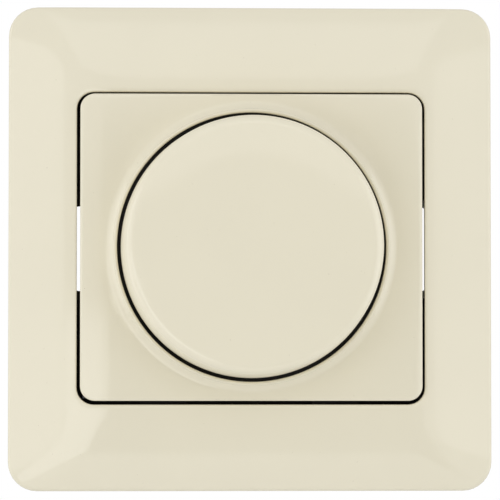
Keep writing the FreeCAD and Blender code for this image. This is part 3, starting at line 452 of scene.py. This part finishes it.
def at_depth(place, depth):
    return Vector((place.x, depth, place.z))


def on_circle(place, radius, height):
    """The place in the same direction from the Y axis, at a radius and a height off the wall."""
    way = Vector((place.x, 0, place.z)).normalized()
    return at_depth(way * radius, -height)


def bridged(name, first, second, cuts):
    """Join two loops by a band of quads."""
    piece = joined(name, [first, second])
    bpy.ops.object.mode_set(mode="EDIT")
    bpy.ops.mesh.select_all(action="SELECT")
    bpy.ops.mesh.bridge_edge_loops(number_cuts=cuts, interpolation="LINEAR")
    bpy.ops.object.mode_set(mode="OBJECT")
    return piece


def draw_out(piece, rule, places):
    """Extrude an open rim again and again, each new ring laid where its rule says."""
    pick_edges(piece, lambda a, b: rule(a) and rule(b))
    for place in places:
        bpy.ops.object.mode_set(mode="EDIT")
        bpy.ops.mesh.extrude_edges_move(TRANSFORM_OT_translate={"value": (0, 0, 0)})
        bpy.ops.object.mode_set(mode="OBJECT")
        for vertex in piece.data.vertices:
            if vertex.select:
                vertex.co = place(vertex.co)


def round_edge(piece, rule, radius, steps=3):
    """Bevel the loop of edges that a rule picks."""
    pick_edges(piece, lambda a, b: rule(a) and rule(b))
    bpy.ops.mesh.bevel(affect="EDGES", offset=radius, segments=steps, profile=0.5, clamp_overlap=False)
    bpy.ops.object.mode_set(mode="OBJECT")


# %% [markdown]
# ## The cover frame
#
# It is a thin shell: a soft front, an outer wall back to the wall's face, and a skirt round the opening that
# stands on the steel support. It could be carved from a block, but drawing its section ring by ring keeps
# every wall even, as a moulding must be. The last ring lands on the opening's rim and is merged with it.
# The skirt is cut away beside the box screws, and four lugs reach under the centre plate, which holds the
# frame to the wall.

# %% Draw the section of the cover frame
FRAME_WALL = 2.0 * MM
FRAME_SKIRT = 1.5 * MM
frame_edge = Outline(FRAME_HALF, FRAME_HALF, 5.0 * MM)
opening = Outline(29.95 * MM, 26.85 * MM, 2.9 * MM)
inside = frame_edge.grown(-FRAME_WALL)
skirt = opening.grown(FRAME_SKIRT)

cover = bridged("cover_frame_moulding", frame_edge.loop(), opening.loop(), 20)
for vertex in cover.data.vertices:
    vertex.co = front_point(vertex.co, FRAME_FACE)
draw_out(cover, opening.holds, [lambda co: at_depth(co, STEEL_FRONT)])
draw_out(cover, frame_edge.holds, [
    lambda co: at_depth(co, 0),
    lambda co: at_depth(frame_edge.match(co, inside), 0),
    lambda co: front_point(co, FRAME_FACE - FRAME_WALL),
    lambda co: front_point(inside.match(co, skirt), FRAME_FACE - FRAME_WALL),
    lambda co: at_depth(co, STEEL_FRONT),
    lambda co: at_depth(skirt.match(co, opening), STEEL_FRONT),
])
outward(cover)
round_edge(cover, lambda co: frame_edge.holds(co) and co.y < -MM, 0.5 * MM, 4)
round_edge(cover, lambda co: opening.holds(co) and co.y < -2 * MM, 0.3 * MM)
print("section of the cover frame:", len(cover.data.polygons), "faces")

# %% [markdown]
# ## The frame's reliefs and lugs
#
# The frame's skirt stops short beside the box screws, so that their heads have room and light reaches the
# slots that show in the gaps. Four small lugs on it reach behind the plate, which holds the frame by them.
# Drawn in the section they would have to bend every ring, so blocks are cut out and added instead.

# %% Cut the reliefs and add the lugs
RELIEF_HALF = 8.5 * MM
FRAME_RELIEF_FRONT, PLATE_RELIEF_FRONT = -6.4 * MM, -4.5 * MM
LUG_PLACE = 15.0 * MM
LUG_HALF = 4.0 * MM
LUG_FRONT = -2.7 * MM
LUG_REACH = 1.4 * MM


def mirrored_blocks(low, high, signs):
    """Copies of one block on several sides of the Y axis, as one object."""
    blocks = []
    for side_x, side_z in signs:
        corners = [Vector((end.x * side_x, end.y, end.z * side_z)) for end in (low, high)]
        near = Vector(map(min, *corners))
        far = Vector(map(max, *corners))
        blocks.append(block(near, far))
    return joined("blocks", blocks)


LEFT_RIGHT = [(-1, 1), (1, 1)]
FOUR_CORNERS = [(sx, sz) for sx in (-1, 1) for sz in (-1, 1)]
opening_x = opening.straight.x + opening.corner
opening_z = opening.straight.z + opening.corner
reliefs = mirrored_blocks(Vector((opening_x - MM, FRAME_RELIEF_FRONT, -RELIEF_HALF)),
                          Vector((opening_x + FRAME_SKIRT + MM, 0, RELIEF_HALF)), LEFT_RIGHT)
carve(cover, [reliefs])
lugs = mirrored_blocks(Vector((LUG_PLACE - LUG_HALF, LUG_FRONT, opening_z - LUG_REACH)),
                       Vector((LUG_PLACE + LUG_HALF, STEEL_FRONT, opening_z + FRAME_SKIRT / 2)), FOUR_CORNERS)
modify(cover, "BOOLEAN", operation="UNION", object=lugs, solver="EXACT")
bpy.data.objects.remove(lugs)
bpy.ops.object.select_all(action="DESELECT")
cover.location = (frame_middle.x, 0, frame_middle.z)
apply_place(cover)
smooth(cover)
show(cover, "mechanism", "cover_frame", moulded_ivory)

# %% [markdown]
# ## The centre plate
#
# The plate carries on the frame's soft front, 0.8 mm prouder. A raised collar with a hollow slope rings the
# knob's well, and its lip is a small half round. The same ring-by-ring drawing makes it. The outline's points
# are pushed out onto a circle along their own directions, so the band between them doesn't twist.

# %% Draw the section of the centre plate
PLATE_SKIRT = 1.5 * MM
PLATE_CEILING = 2.0 * MM
WELL_RADIUS = 23.1 * MM
WELL_FLOOR = 7.2 * MM
WELL_BACK = 5.7 * MM
WELL_OUTSIDE = WELL_RADIUS + 1.5 * MM
BUSH_HOLE = 5.1 * MM
LIP = 0.35 * MM
CREST_HEIGHT = 10.2 * MM - LIP
CREST_RADIUS = WELL_RADIUS + 2 * LIP
COLLAR_FOOT = 25.2 * MM
SLOPE_STEPS = 8
LIP_STEPS = 8

plate_edge = Outline(29.4 * MM, 26.35 * MM, 2.5 * MM)
plate_inside = plate_edge.grown(-PLATE_SKIRT)


def slope_ring(share):
    """A ring of the collar's hollow slope: share 0 at its foot, 1 at its crest."""
    def place(co):
        foot = front_point(on_circle(co, COLLAR_FOOT, 0), PLATE_FACE)
        radius = COLLAR_FOOT + (CREST_RADIUS - COLLAR_FOOT) * share
        height = -foot.y + (CREST_HEIGHT + foot.y) * share ** 2
        return on_circle(co, radius, height)
    return place


def lip_ring(angle):
    radius = WELL_RADIUS + LIP + LIP * math.cos(angle)
    return lambda co: on_circle(co, radius, CREST_HEIGHT + LIP * math.sin(angle))


slope = [slope_ring(step / SLOPE_STEPS) for step in range(1, SLOPE_STEPS + 1)]
lip = [lip_ring(math.pi * step / LIP_STEPS) for step in range(1, LIP_STEPS + 1)]

foot_loop = plate_edge.loop()
for vertex in foot_loop.data.vertices:
    vertex.co = on_circle(vertex.co, COLLAR_FOOT, 0)
plate = bridged("centre_plate_moulding", plate_edge.loop(), foot_loop, 6)
for vertex in plate.data.vertices:
    vertex.co = front_point(vertex.co, PLATE_FACE)
at_foot = lambda co: abs(math.hypot(co.x, co.z) - COLLAR_FOOT) < ON_LINE
draw_out(plate, at_foot, slope + lip + [
    lambda co: on_circle(co, WELL_RADIUS, WELL_FLOOR),
    lambda co: on_circle(co, BUSH_HOLE, WELL_FLOOR),
    lambda co: on_circle(co, BUSH_HOLE, WELL_BACK),
])
draw_out(plate, plate_edge.holds, [
    lambda co: at_depth(co, STEEL_FRONT),
    lambda co: at_depth(plate_edge.match(co, plate_inside), STEEL_FRONT),
    lambda co: front_point(co, PLATE_FACE - PLATE_CEILING),
    lambda co: front_point(on_circle(plate_inside.match(co, plate_edge), WELL_OUTSIDE, 0),
                           PLATE_FACE - PLATE_CEILING),
    lambda co: on_circle(co, WELL_OUTSIDE, WELL_BACK),
    lambda co: on_circle(co, BUSH_HOLE, WELL_BACK),
])
outward(plate)
round_edge(plate, lambda co: plate_edge.holds(co) and co.y < -4 * MM, 0.3 * MM)
print("section of the centre plate:", len(plate.data.polygons), "faces")

# %% [markdown]
# ## The plate's notches
#
# The plate's skirt has openings where the box screws and the frame's lugs pass. Mirrored blocks cut these
# too. Those for the lugs are a little larger than the lugs, so that the two parts go together.

# %% Notch its skirt for the box screws and the frame's lugs
PLAY = 0.3 * MM
plate_x = plate_edge.straight.x + plate_edge.corner
plate_z = plate_edge.straight.z + plate_edge.corner
screw_notches = mirrored_blocks(Vector((plate_x - 3 * MM, PLATE_RELIEF_FRONT, -RELIEF_HALF)),
                                Vector((plate_x + MM, 0, RELIEF_HALF)), LEFT_RIGHT)
lug_notches = mirrored_blocks(Vector((LUG_PLACE - LUG_HALF - PLAY, LUG_FRONT - 0.05 * MM, plate_z - 3 * MM)),
                              Vector((LUG_PLACE + LUG_HALF + PLAY, 0, plate_z + MM)), FOUR_CORNERS)
carve(plate, [screw_notches, lug_notches])
smooth(plate)
show(plate, "mechanism", "centre_plate", moulded_ivory)

# %% [markdown]
# ## The knob
#
# The knob is a cup turned over: a plain disc in front with a rolled edge, a thin wall, a stem that grips the
# shaft and four ribs. Its side tapers a little towards the front, so that it comes out of the mould. A lathe
# profile spun about the axis would do, but a cylinder whose front rim is drawn in and bevelled, and whose
# back is inset and extruded, is quicker and keeps every ring in step.

# %% Model the knob
KNOB_RADIUS = (knob_high.x - knob_low.x) / 2
KNOB_SIDES = 160
KNOB_ROLL = 1.5 * MM
KNOB_DRAFT = 0.6 * MM
KNOB_WALL = 2.0 * MM
ROOF_BACK = -18.3 * MM
STEM_RADIUS = 5.4 * MM
STEM_END = -11.6 * MM
RIB_END = -14.0 * MM
RIB_HALF = 0.6 * MM
BORE_RADIUS = 3.05 * MM
BORE_FRONT = -18.1 * MM
BORE_FLAT = 2.05 * MM
OVERLAP = 0.3 * MM
FACE_RINGS = (0.3, 0.3, 0.25)


def facing(piece, depth, inner, outer, looks):
    """Select the faces that look along Y at one depth, between two radii, and stay in edit mode."""
    bpy.ops.object.mode_set(mode="EDIT")
    bpy.ops.mesh.select_mode(type="FACE")
    bpy.ops.mesh.select_all(action="DESELECT")
    bpy.ops.object.mode_set(mode="OBJECT")
    for face in piece.data.polygons:
        radius = math.hypot(face.center.x, face.center.z)
        level = abs(face.center.y - depth) < ON_LINE and face.normal.y * looks > 0.9
        face.select = level and inner <= radius <= outer
    bpy.ops.object.mode_set(mode="EDIT")


def push(distance):
    """Extrude the selected faces along Y."""
    bpy.ops.mesh.extrude_region_move(TRANSFORM_OT_translate={"value": (0, distance, 0)})


knob = round_bar(KNOB_RADIUS, (0, knob_low.y, 0), (0, knob_high.y, 0), KNOB_SIDES)
knob.name = knob.data.name = "knob_moulding"
on_front_rim = lambda co: abs(co.y - knob_low.y) < ON_LINE
for vertex in knob.data.vertices:
    if on_front_rim(vertex.co):
        vertex.co = on_circle(vertex.co, KNOB_RADIUS - KNOB_DRAFT, -knob_low.y)
round_edge(knob, on_front_rim, KNOB_ROLL, 12)
facing(knob, knob_high.y, 0, MM, 1)
bpy.ops.mesh.inset(thickness=KNOB_WALL)
push(ROOF_BACK - knob_high.y)
bpy.ops.mesh.inset(thickness=KNOB_RADIUS - KNOB_WALL - STEM_RADIUS)
push(STEM_END - ROOF_BACK)
bpy.ops.mesh.inset(thickness=STEM_RADIUS - BORE_RADIUS)
push(BORE_FRONT - STEM_END)
bpy.ops.object.mode_set(mode="OBJECT")
for vertex in knob.data.vertices:
    if math.hypot(vertex.co.x, vertex.co.z) < BORE_RADIUS + ON_LINE:
        vertex.co.z = min(vertex.co.z, BORE_FLAT)
facing(knob, knob_low.y, 0, MM, -1)
for ring in FACE_RINGS:
    bpy.ops.mesh.inset(thickness=(KNOB_RADIUS - KNOB_DRAFT - KNOB_ROLL) * ring)
bpy.ops.object.mode_set(mode="OBJECT")

rib_start, rib_stop = STEM_RADIUS - MM, KNOB_RADIUS - KNOB_WALL + OVERLAP
rib_front = ROOF_BACK - OVERLAP
ribs = [block((rib_start * sign if sign > 0 else -rib_stop, rib_front, -RIB_HALF),
              (rib_stop if sign > 0 else -rib_start, RIB_END, RIB_HALF)) for sign in (-1, 1)]
ribs += [block((-RIB_HALF, rib_front, rib_start if sign > 0 else -rib_stop),
               (RIB_HALF, RIB_END, rib_stop if sign > 0 else -rib_start)) for sign in (-1, 1)]
ribs = joined("ribs", ribs)
modify(knob, "BOOLEAN", operation="UNION", object=ribs, solver="EXACT")
bpy.data.objects.remove(ribs)
smooth(knob)
show(knob, "dial", "rotary_knob", knob_ivory)

# %% [markdown]
# ## Metals
#
# The hidden parts are plated, rolled, drawn or turned metal. What tells them apart is the tint, how far the
# surface is dulled, and the direction of its fine lines. One recipe takes those: cloudy tarnish for the
# colour, streaks stretched along the lines for roughness and relief, and edges eased by a Bevel node.

# %% The metals
def metal(name, tint, dull, roughness, lines=(1, 1, 1), line_scale=2200, edge=0.12 * MM, painted_shade=None):
    finish = Finish(name, roughness=roughness, metallic=1.0)
    tarnish = finish.noise(140, 4.0)
    stain = finish.noise(45, 2.0).ramp(0.42, 0.7)
    streak = finish.noise(line_scale, 3.0, lines)
    colour = finish.blend(stain * 0.35, finish.blend(tarnish, dull, tint), dull)
    gloss = tarnish * 0.12 + streak * 0.1 + (roughness - 0.11)
    # Painted shade: where its mask is 1, the colour goes near black, rough and not metal.
    if painted_shade:
        shaded = painted_shade(finish)
        colour = finish.blend(shaded, colour, GAP_SHADE_COLOUR)
        gloss = gloss + shaded * 0.5
        finish.feed("Metallic", 1 - shaded)
    finish.feed("Base Color", colour)
    finish.feed("Roughness", gloss)
    finish.relief(streak + tarnish * 0.5, 0.004 * MM, edge)
    return finish


def steel_gap_shade(finish):
    """Painted shade on the steel's front where it shows through the gap round the centre plate."""
    on_front = finish.axis("Y").below(STEEL_FRONT + 0.1 * MM)
    return within(finish, GAP_X, GAP_Z) * (1 - within(finish, PLATE_X, PLATE_Z)) * on_front


ALONG_X, ALONG_Y, ALONG_Z = (0.05, 1, 1), (1, 0.05, 1), (1, 1, 0.05)
zinc = metal("zinc_plate", (0.60, 0.62, 0.64), (0.42, 0.44, 0.44), 0.36)
zinc_sheet = metal("zinc_sheet", (0.60, 0.62, 0.64), (0.42, 0.44, 0.44), 0.4, ALONG_X)
# The support's zinc carries painted shade where it shows through the gap.
support_zinc = metal("support_zinc", (0.60, 0.62, 0.64), (0.42, 0.44, 0.44), 0.4, ALONG_X, painted_shade=steel_gap_shade)
bright_steel = metal("bright_spring_steel", (0.52, 0.52, 0.53), (0.35, 0.35, 0.36), 0.25, ALONG_Y)
nickel = metal("nickel_on_brass", (0.70, 0.66, 0.58), (0.52, 0.48, 0.40), 0.22)
brass = metal("drawn_brass", (0.74, 0.50, 0.20), (0.48, 0.31, 0.12), 0.3, ALONG_Z)
aluminium = metal("turned_aluminium", (0.78, 0.79, 0.80), (0.62, 0.63, 0.64), 0.34, ALONG_Z)
tin = metal("dipped_tin", (0.74, 0.75, 0.76), (0.55, 0.56, 0.57), 0.32)

# %% [markdown]
# ## Moulded and pressed parts
#
# The mechanism's plastics are matt: their tools are spark eroded, which leaves a fine pebbled skin. Paper,
# laminate and nylon differ mostly in colour and in the size and direction of their grain, so one recipe
# covers them, and each keeps its own scale.

# %% The matt plastics, pressboard and laminate
def matt(name, tint, contrast, roughness, grain, depth, lines=(1, 1, 1), edge=0.2 * MM, coat=0.0):
    finish = Finish(name, roughness=roughness, coat=coat)
    cloud = finish.noise(120, 3.0)
    pebble = finish.noise(grain, 4.0, lines)
    pale = tuple(min(1.0, c * (1 + contrast)) for c in tint)
    deep = tuple(c * (1 - contrast) for c in tint)
    finish.feed("Base Color", finish.blend(cloud * 0.5 + pebble * 0.5, deep, pale))
    finish.feed("Roughness", cloud * 0.1 + pebble * 0.12 + (roughness - 0.11))
    finish.relief(pebble, depth, edge)
    return finish


housing_black = matt("housing_black", (0.024, 0.024, 0.026), 0.2, 0.5, 3200, 0.03 * MM, edge=0.4 * MM)
pressboard = matt("pressed_fibre", (0.14, 0.085, 0.045), 0.35, 0.75, 1500, 0.02 * MM, (0.2, 1, 1))
natural_nylon = matt("natural_nylon", (0.66, 0.64, 0.54), 0.06, 0.42, 2400, 0.01 * MM)
film_yellow = matt("potted_yellow_box", (0.52, 0.22, 0.008), 0.08, 0.28, 900, 0.01 * MM, coat=0.4)
film_red = matt("dipped_red_lacquer", (0.18, 0.012, 0.007), 0.12, 0.25, 500, 0.03 * MM, coat=0.6, edge=0.5 * MM)
black_epoxy = matt("moulded_epoxy", (0.012, 0.012, 0.013), 0.25, 0.45, 2600, 0.015 * MM)
powder_coat = matt("powder_coated_ferrite", (0.10, 0.107, 0.035), 0.12, 0.5, 1400, 0.04 * MM)
wire_enamel = metal("enamelled_copper", (0.62, 0.24, 0.10), (0.38, 0.12, 0.05), 0.24, line_scale=900)
wire_enamel.shader.inputs["Coat Weight"].default_value = 0.6

# %% [markdown]
# ## Finishes with a drawn pattern
#
# Some parts carry a pattern that has a place: colour bands on a resistor, the black path on the resistance
# wafer, the metal tab behind the power package, the weave of the board. Each is a mask made of the place on
# the object and a few comparisons, and the mask mixes two colours.

# %% Bands, paths, tabs and weave
def span(field, low, high):
    """1 between two values of a field."""
    return field.above(low) * field.below(high)


def banded(name, barrel, body_tint, bands, band_width=0.45 * MM):
    """Lacquered barrel with colour bands across X, and tinned leads beyond its ends."""
    finish = Finish(name, roughness=0.3, coat=0.3)
    x = finish.axis("X")
    cloud = finish.noise(500, 3.0)
    colour = finish.blend(cloud, tuple(c * 0.85 for c in body_tint), body_tint)
    for place, tint in bands:
        colour = finish.blend(span(x, place * MM, place * MM + band_width), colour, tint)
    on_barrel = span(x, barrel[0] * MM, barrel[1] * MM)
    finish.feed("Base Color", finish.blend(on_barrel, (0.70, 0.71, 0.72), colour))
    finish.feed("Metallic", 1 - on_barrel)
    finish.feed("Roughness", cloud * 0.12 + 0.22)
    finish.relief(cloud, 0.01 * MM, 0.15 * MM)
    return finish


resistor_lacquer = banded("resistor_lacquer", (3.2, 8.4), (0.10, 0.26, 0.38), [
    (3.9, (0.12, 0.04, 0.01)), (4.8, (0.01, 0.01, 0.01)), (5.7, (0.50, 0.12, 0.01)), (7.3, (0.45, 0.28, 0.06))])
diac_lacquer = banded("diac_lacquer", (4.0, 7.6), (0.08, 0.20, 0.34), [(5.6, (0.01, 0.01, 0.01))])

power_package = Finish("power_package", roughness=0.4)
package_metal = power_package.axis("X").above(14.0 * MM) + power_package.axis("Z").below(2.0 * MM)
package_metal = package_metal.math("MINIMUM", package_metal, 1.0)
package_grain = power_package.noise(2400, 3.0)
power_package.feed("Base Color", power_package.blend(package_metal, (0.013, 0.013, 0.014), (0.68, 0.69, 0.70)))
power_package.feed("Metallic", package_metal)
power_package.feed("Roughness", package_grain * 0.15 + 0.3)
power_package.relief(package_grain, 0.012 * MM, 0.15 * MM)

PATH_INNER, PATH_OUTER, PATH_GAP = 4.2 * MM, 6.3 * MM, 1.6 * MM
wafer = Finish("resistance_wafer", roughness=0.5)
wafer_x, wafer_z = wafer.axis("X"), wafer.axis("Z")
from_axis = (wafer_x * wafer_x + wafer_z * wafer_z).root()
open_below = 1 - span(wafer_x, -PATH_GAP, PATH_GAP) * wafer_z.below(0)
path = span(from_axis, PATH_INNER, PATH_OUTER) * open_below
wafer_grain = wafer.noise(1800, 3.0)
wafer_tone = wafer.blend(wafer_grain, (0.16, 0.08, 0.025), (0.24, 0.13, 0.05))
wafer.feed("Base Color", wafer.blend(path, wafer_tone, (0.012, 0.012, 0.012)))
wafer.feed("Roughness", wafer_grain * 0.1 + 0.4 - path * 0.15)
wafer.relief(path * 0.6 + wafer_grain * 0.4, 0.02 * MM)

laminate = Finish("resin_laminate", roughness=0.45, coat=0.3)
THREAD = 4200
cloth = (laminate.axis("X") * THREAD).sine() * (laminate.axis("Z") * THREAD).sine() * 0.5 + 0.5
laminate.feed("Base Color", laminate.blend(cloth * 0.5 + laminate.noise(200) * 0.5,
                                           (0.21, 0.12, 0.025), (0.32, 0.20, 0.06)))
laminate.feed("Roughness", cloth * 0.1 + 0.38)
laminate.relief(cloth, 0.01 * MM, 0.1 * MM)

clear_glass = Finish("fuse_glass_tube", roughness=0.03, ior=1.5)
clear_glass.shader.inputs["Transmission Weight"].default_value = 1.0
clear_glass.feed("Base Color", clear_glass.blend(clear_glass.noise(300),
                                                 (0.90, 0.94, 0.93), (0.97, 0.99, 0.98)))
clear_glass.feed("Roughness", clear_glass.noise(700) * 0.06 + 0.01)

# %% [markdown]
# ## Finishes on the design's own parts
#
# Most parts already have their real shape in the design, so they only need a finish. A table from part to
# finish is easier to read than a line for each. The four parts that it leaves out are modelled anew: three
# mouldings above, and the switch spring below.

# %% Give the parts that keep their shape a finish
NODE_FINISHES = {
    "support_plate": support_zinc, "mechanism_housing": housing_black, "housing_screws": zinc,
    "insulation_sheet": pressboard, "potentiometer_case": black_epoxy, "potentiometer_bush": nickel,
    "bush_washer": zinc, "bush_nut": nickel, "resistance_track": wafer, "potentiometer_wiper": natural_nylon,
    "potentiometer_pins": tin, "switch_case": black_epoxy, "switch_plunger": natural_nylon,
    "control_shaft": aluminium, "knob_clip": bright_steel,
    "circuit_board": laminate, "heat_sink": aluminium, "triac": power_package, "triac_screw": zinc,
    "choke_core": powder_coat, "choke_winding": wire_enamel, "fuse_glass": clear_glass, "fuse_caps": tin,
    "fuse_clips": brass, "suppression_capacitor": film_yellow, "timing_capacitor": film_red,
    "resistors": resistor_lacquer, "diac": diac_lacquer,
}
for number in (1, 2, 3):
    NODE_FINISHES[f"terminal_cage_{number}"] = brass
    NODE_FINISHES[f"terminal_clamp_{number}"] = zinc
    NODE_FINISHES[f"terminal_screw_{number}"] = zinc
for side in ("left", "right"):
    NODE_FINISHES[f"claw_{side}"] = zinc_sheet
    NODE_FINISHES[f"claw_pin_{side}"] = bright_steel
    NODE_FINISHES[f"claw_nut_{side}"] = brass
    NODE_FINISHES[f"claw_screw_{side}"] = zinc
for name, finish in NODE_FINISHES.items():
    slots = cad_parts[name].data.materials
    slots.clear()
    slots.append(finish.material)
bare = set(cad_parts) - set(NODE_FINISHES)
print("finished", len(NODE_FINISHES), "nodes; for pieces modelled anew:", sorted(bare))

# %% [markdown]
# ## The switch spring
#
# A small compression spring stands between the plunger's flange and the rear wall of the switch. A rigid
# coil would run through the flange when the knob is pushed. This one is wound anew. It could be a curve
# with a round section; a ring of wire screwed about the axis gives cleaner quads.

# %% Wind the spring
COIL_RADIUS = 2.6 * MM
WIRE_RADIUS = 0.175 * MM
COIL_TURNS = 3
COIL_FRONT, COIL_REAR = 7.76 * MM, 10.19 * MM

clear_selection()
bpy.ops.mesh.primitive_circle_add(vertices=12, radius=WIRE_RADIUS,
                                  location=(COIL_RADIUS, COIL_FRONT + WIRE_RADIUS, 0))
spring = bpy.context.object
spring.name = spring.data.name = "spring_coil"
apply_place(spring)
pitch = (COIL_REAR - COIL_FRONT - 2 * WIRE_RADIUS) / COIL_TURNS
modify(spring, "SCREW", axis="Y", angle=2 * math.pi, screw_offset=pitch, iterations=COIL_TURNS, steps=40,
       render_steps=40)
bpy.ops.object.mode_set(mode="EDIT")
bpy.ops.mesh.select_all(action="SELECT")
bpy.ops.mesh.fill_holes(sides=0)
bpy.ops.object.mode_set(mode="OBJECT")
outward(spring)
smooth(spring)
show(spring, "mechanism", "switch_spring", bright_steel)
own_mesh(spring)

# %% [markdown]
# ## Stage
#
# The object stands upright in a white surround, as for a catalogue. The camera sees the surround as pure
# white, but the object is lit by it less strongly, and one region of it in front of the object is dark: the
# side of the room where the camera stands. The flat faces mirror that region, so they don't wash out.

# %% Surround and floor
AMBIENT = 0.71
DARK_SIDE = 0.03
DARK_LEFT, DARK_RIGHT, DARK_TOP = (-0.10, -0.06), (0.55, 0.45), (0.081, 0.077)
LEAST_FORWARD = 0.05
world = bpy.data.worlds.new("white_surround")
bpy.context.scene.world = world
world.use_nodes = True
sky = world.node_tree


def sky_node(kind, settings, inputs):
    made = sky.nodes.new(kind)
    for name, value in settings.items():
        setattr(made, name, value)
    for socket, value in inputs.items():
        if isinstance(value, bpy.types.NodeSocket):
            sky.links.new(value, made.inputs[socket])
        else:
            made.inputs[socket].default_value = value
    return made


def sky_math(operation, *values):
    return sky_node("ShaderNodeMath", {"operation": operation}, dict(enumerate(values))).outputs[0]


def sky_step(value, start, stop):
    """0 before the start, 1 after the stop."""
    return sky_node("ShaderNodeMapRange", {"interpolation_type": "SMOOTHSTEP"},
                    {"Value": value, "From Min": start, "From Max": stop}).outputs[0]


direction = sky_node("ShaderNodeTexCoord", {}, {}).outputs["Generated"]
heading = sky_node("ShaderNodeSeparateXYZ", {}, {0: direction}).outputs
forward = sky_math("MAXIMUM", sky_math("MULTIPLY", heading["Y"], -1.0), LEAST_FORWARD)
across = sky_math("DIVIDE", heading["X"], forward)
upward = sky_math("DIVIDE", heading["Z"], forward)
past_left = sky_step(across, *DARK_LEFT)
before_right = sky_step(across, *DARK_RIGHT)
below_top = sky_step(upward, *DARK_TOP)
dark = sky_math("MULTIPLY", sky_math("MULTIPLY", past_left, before_right), below_top)
around = sky_node("ShaderNodeMix", {"data_type": "FLOAT"}, {0: dark, 2: AMBIENT, 3: DARK_SIDE}).outputs[0]
seen = sky_node("ShaderNodeLightPath", {}, {}).outputs["Is Camera Ray"]
strength = sky_node("ShaderNodeMix", {"data_type": "FLOAT"}, {0: seen, 2: around, 3: 1.0})
background = sky.nodes["Background"]
sky.links.new(strength.outputs[0], background.inputs["Strength"])
background.inputs["Color"].default_value = (1, 1, 1, 1)

FLOOR_SIZE, FLOOR_PLACE = 3.0, (0, 0.6, -0.5)
clear_selection()
bpy.ops.mesh.primitive_plane_add(size=FLOOR_SIZE, location=FLOOR_PLACE)
floor = bpy.context.object
floor.name = "floor"
paper = Finish("pale_floor", roughness=0.8)
paper.feed("Base Color", paper.blend(paper.noise(3, 3), (0.80, 0.80, 0.79), (0.84, 0.84, 0.83)))
floor.data.materials.append(paper.material)
print("floor:", FLOOR_SIZE, "m square, surround", AMBIENT, "and", DARK_SIDE, "where it is dark")

# %% [markdown]
# ## Cards of light
#
# Four cards stand a metre in front of the object, and their edges show as bright shapes in the glossy
# corners. Two more stand at its sides, turned towards it. They could be glowing planes, but area lights give
# less noise and take their size from two numbers.

# %% Cards of light
def light_card(name, place, width, height, brightness, turn=0):
    """A card that shines at the wall, or is turned about the upright; brightness 1 is white paper's."""
    clear_selection()
    bpy.ops.object.light_add(type="AREA", location=place, rotation=(math.radians(90), 0, math.radians(turn)))
    light = bpy.context.object
    light.name = name
    light.data.shape = "RECTANGLE"
    light.data.size, light.data.size_y = width, height
    light.data.energy = brightness * math.pi * width * height
    print(f"{name}: {width} by {height} m")


light_card("low_left_card", (-0.315, -1.0, -0.255), 0.49, 0.53, 1.35)
light_card("left_card", (-0.885, -1.0, -0.01), 0.63, 0.5, 0.9)
light_card("right_card", (0.955, -1.0, 0.03), 0.59, 0.34, 0.7)
light_card("top_card", (0.025, -1.0, 0.625), 0.65, 0.75, 0.65)
light_card("left_side_card", (-1.1, -0.35, 0.0), 0.7, 1.2, 1.05, -70)
light_card("right_side_card", (1.1, -0.35, 0.1), 0.7, 1.2, 1.2, 70)

# %% [markdown]
# ## Camera
#
# A long lens from a little to the left of and below the middle, aimed just beside the frame's centre. A
# short lens could stand closer, but the knob is nearer than the frame and would then look too large.

# %% Camera
AZIMUTH, ELEVATION, DISTANCE = math.radians(-2.3), math.radians(-2.2), 0.6
AIM_SHIFT = 0.12 * MM
clear_selection()
aim = Vector((frame_middle.x + AIM_SHIFT, 0, frame_middle.z))
away = Vector((math.sin(AZIMUTH) * math.cos(ELEVATION), -math.cos(AZIMUTH) * math.cos(ELEVATION),
               math.sin(ELEVATION)))
bpy.ops.object.camera_add(location=aim + away * DISTANCE)
camera = bpy.context.object
camera.rotation_euler = (-away).to_track_quat("-Z", "Y").to_euler()
camera.data.lens = 248
camera.data.sensor_width = 36
camera.data.clip_start = 0.01
bpy.context.scene.camera = camera
bpy.context.scene.view_settings.view_transform = "Standard"
print("camera:", DISTANCE, "m from the frame's centre, lens", camera.data.lens, "mm")
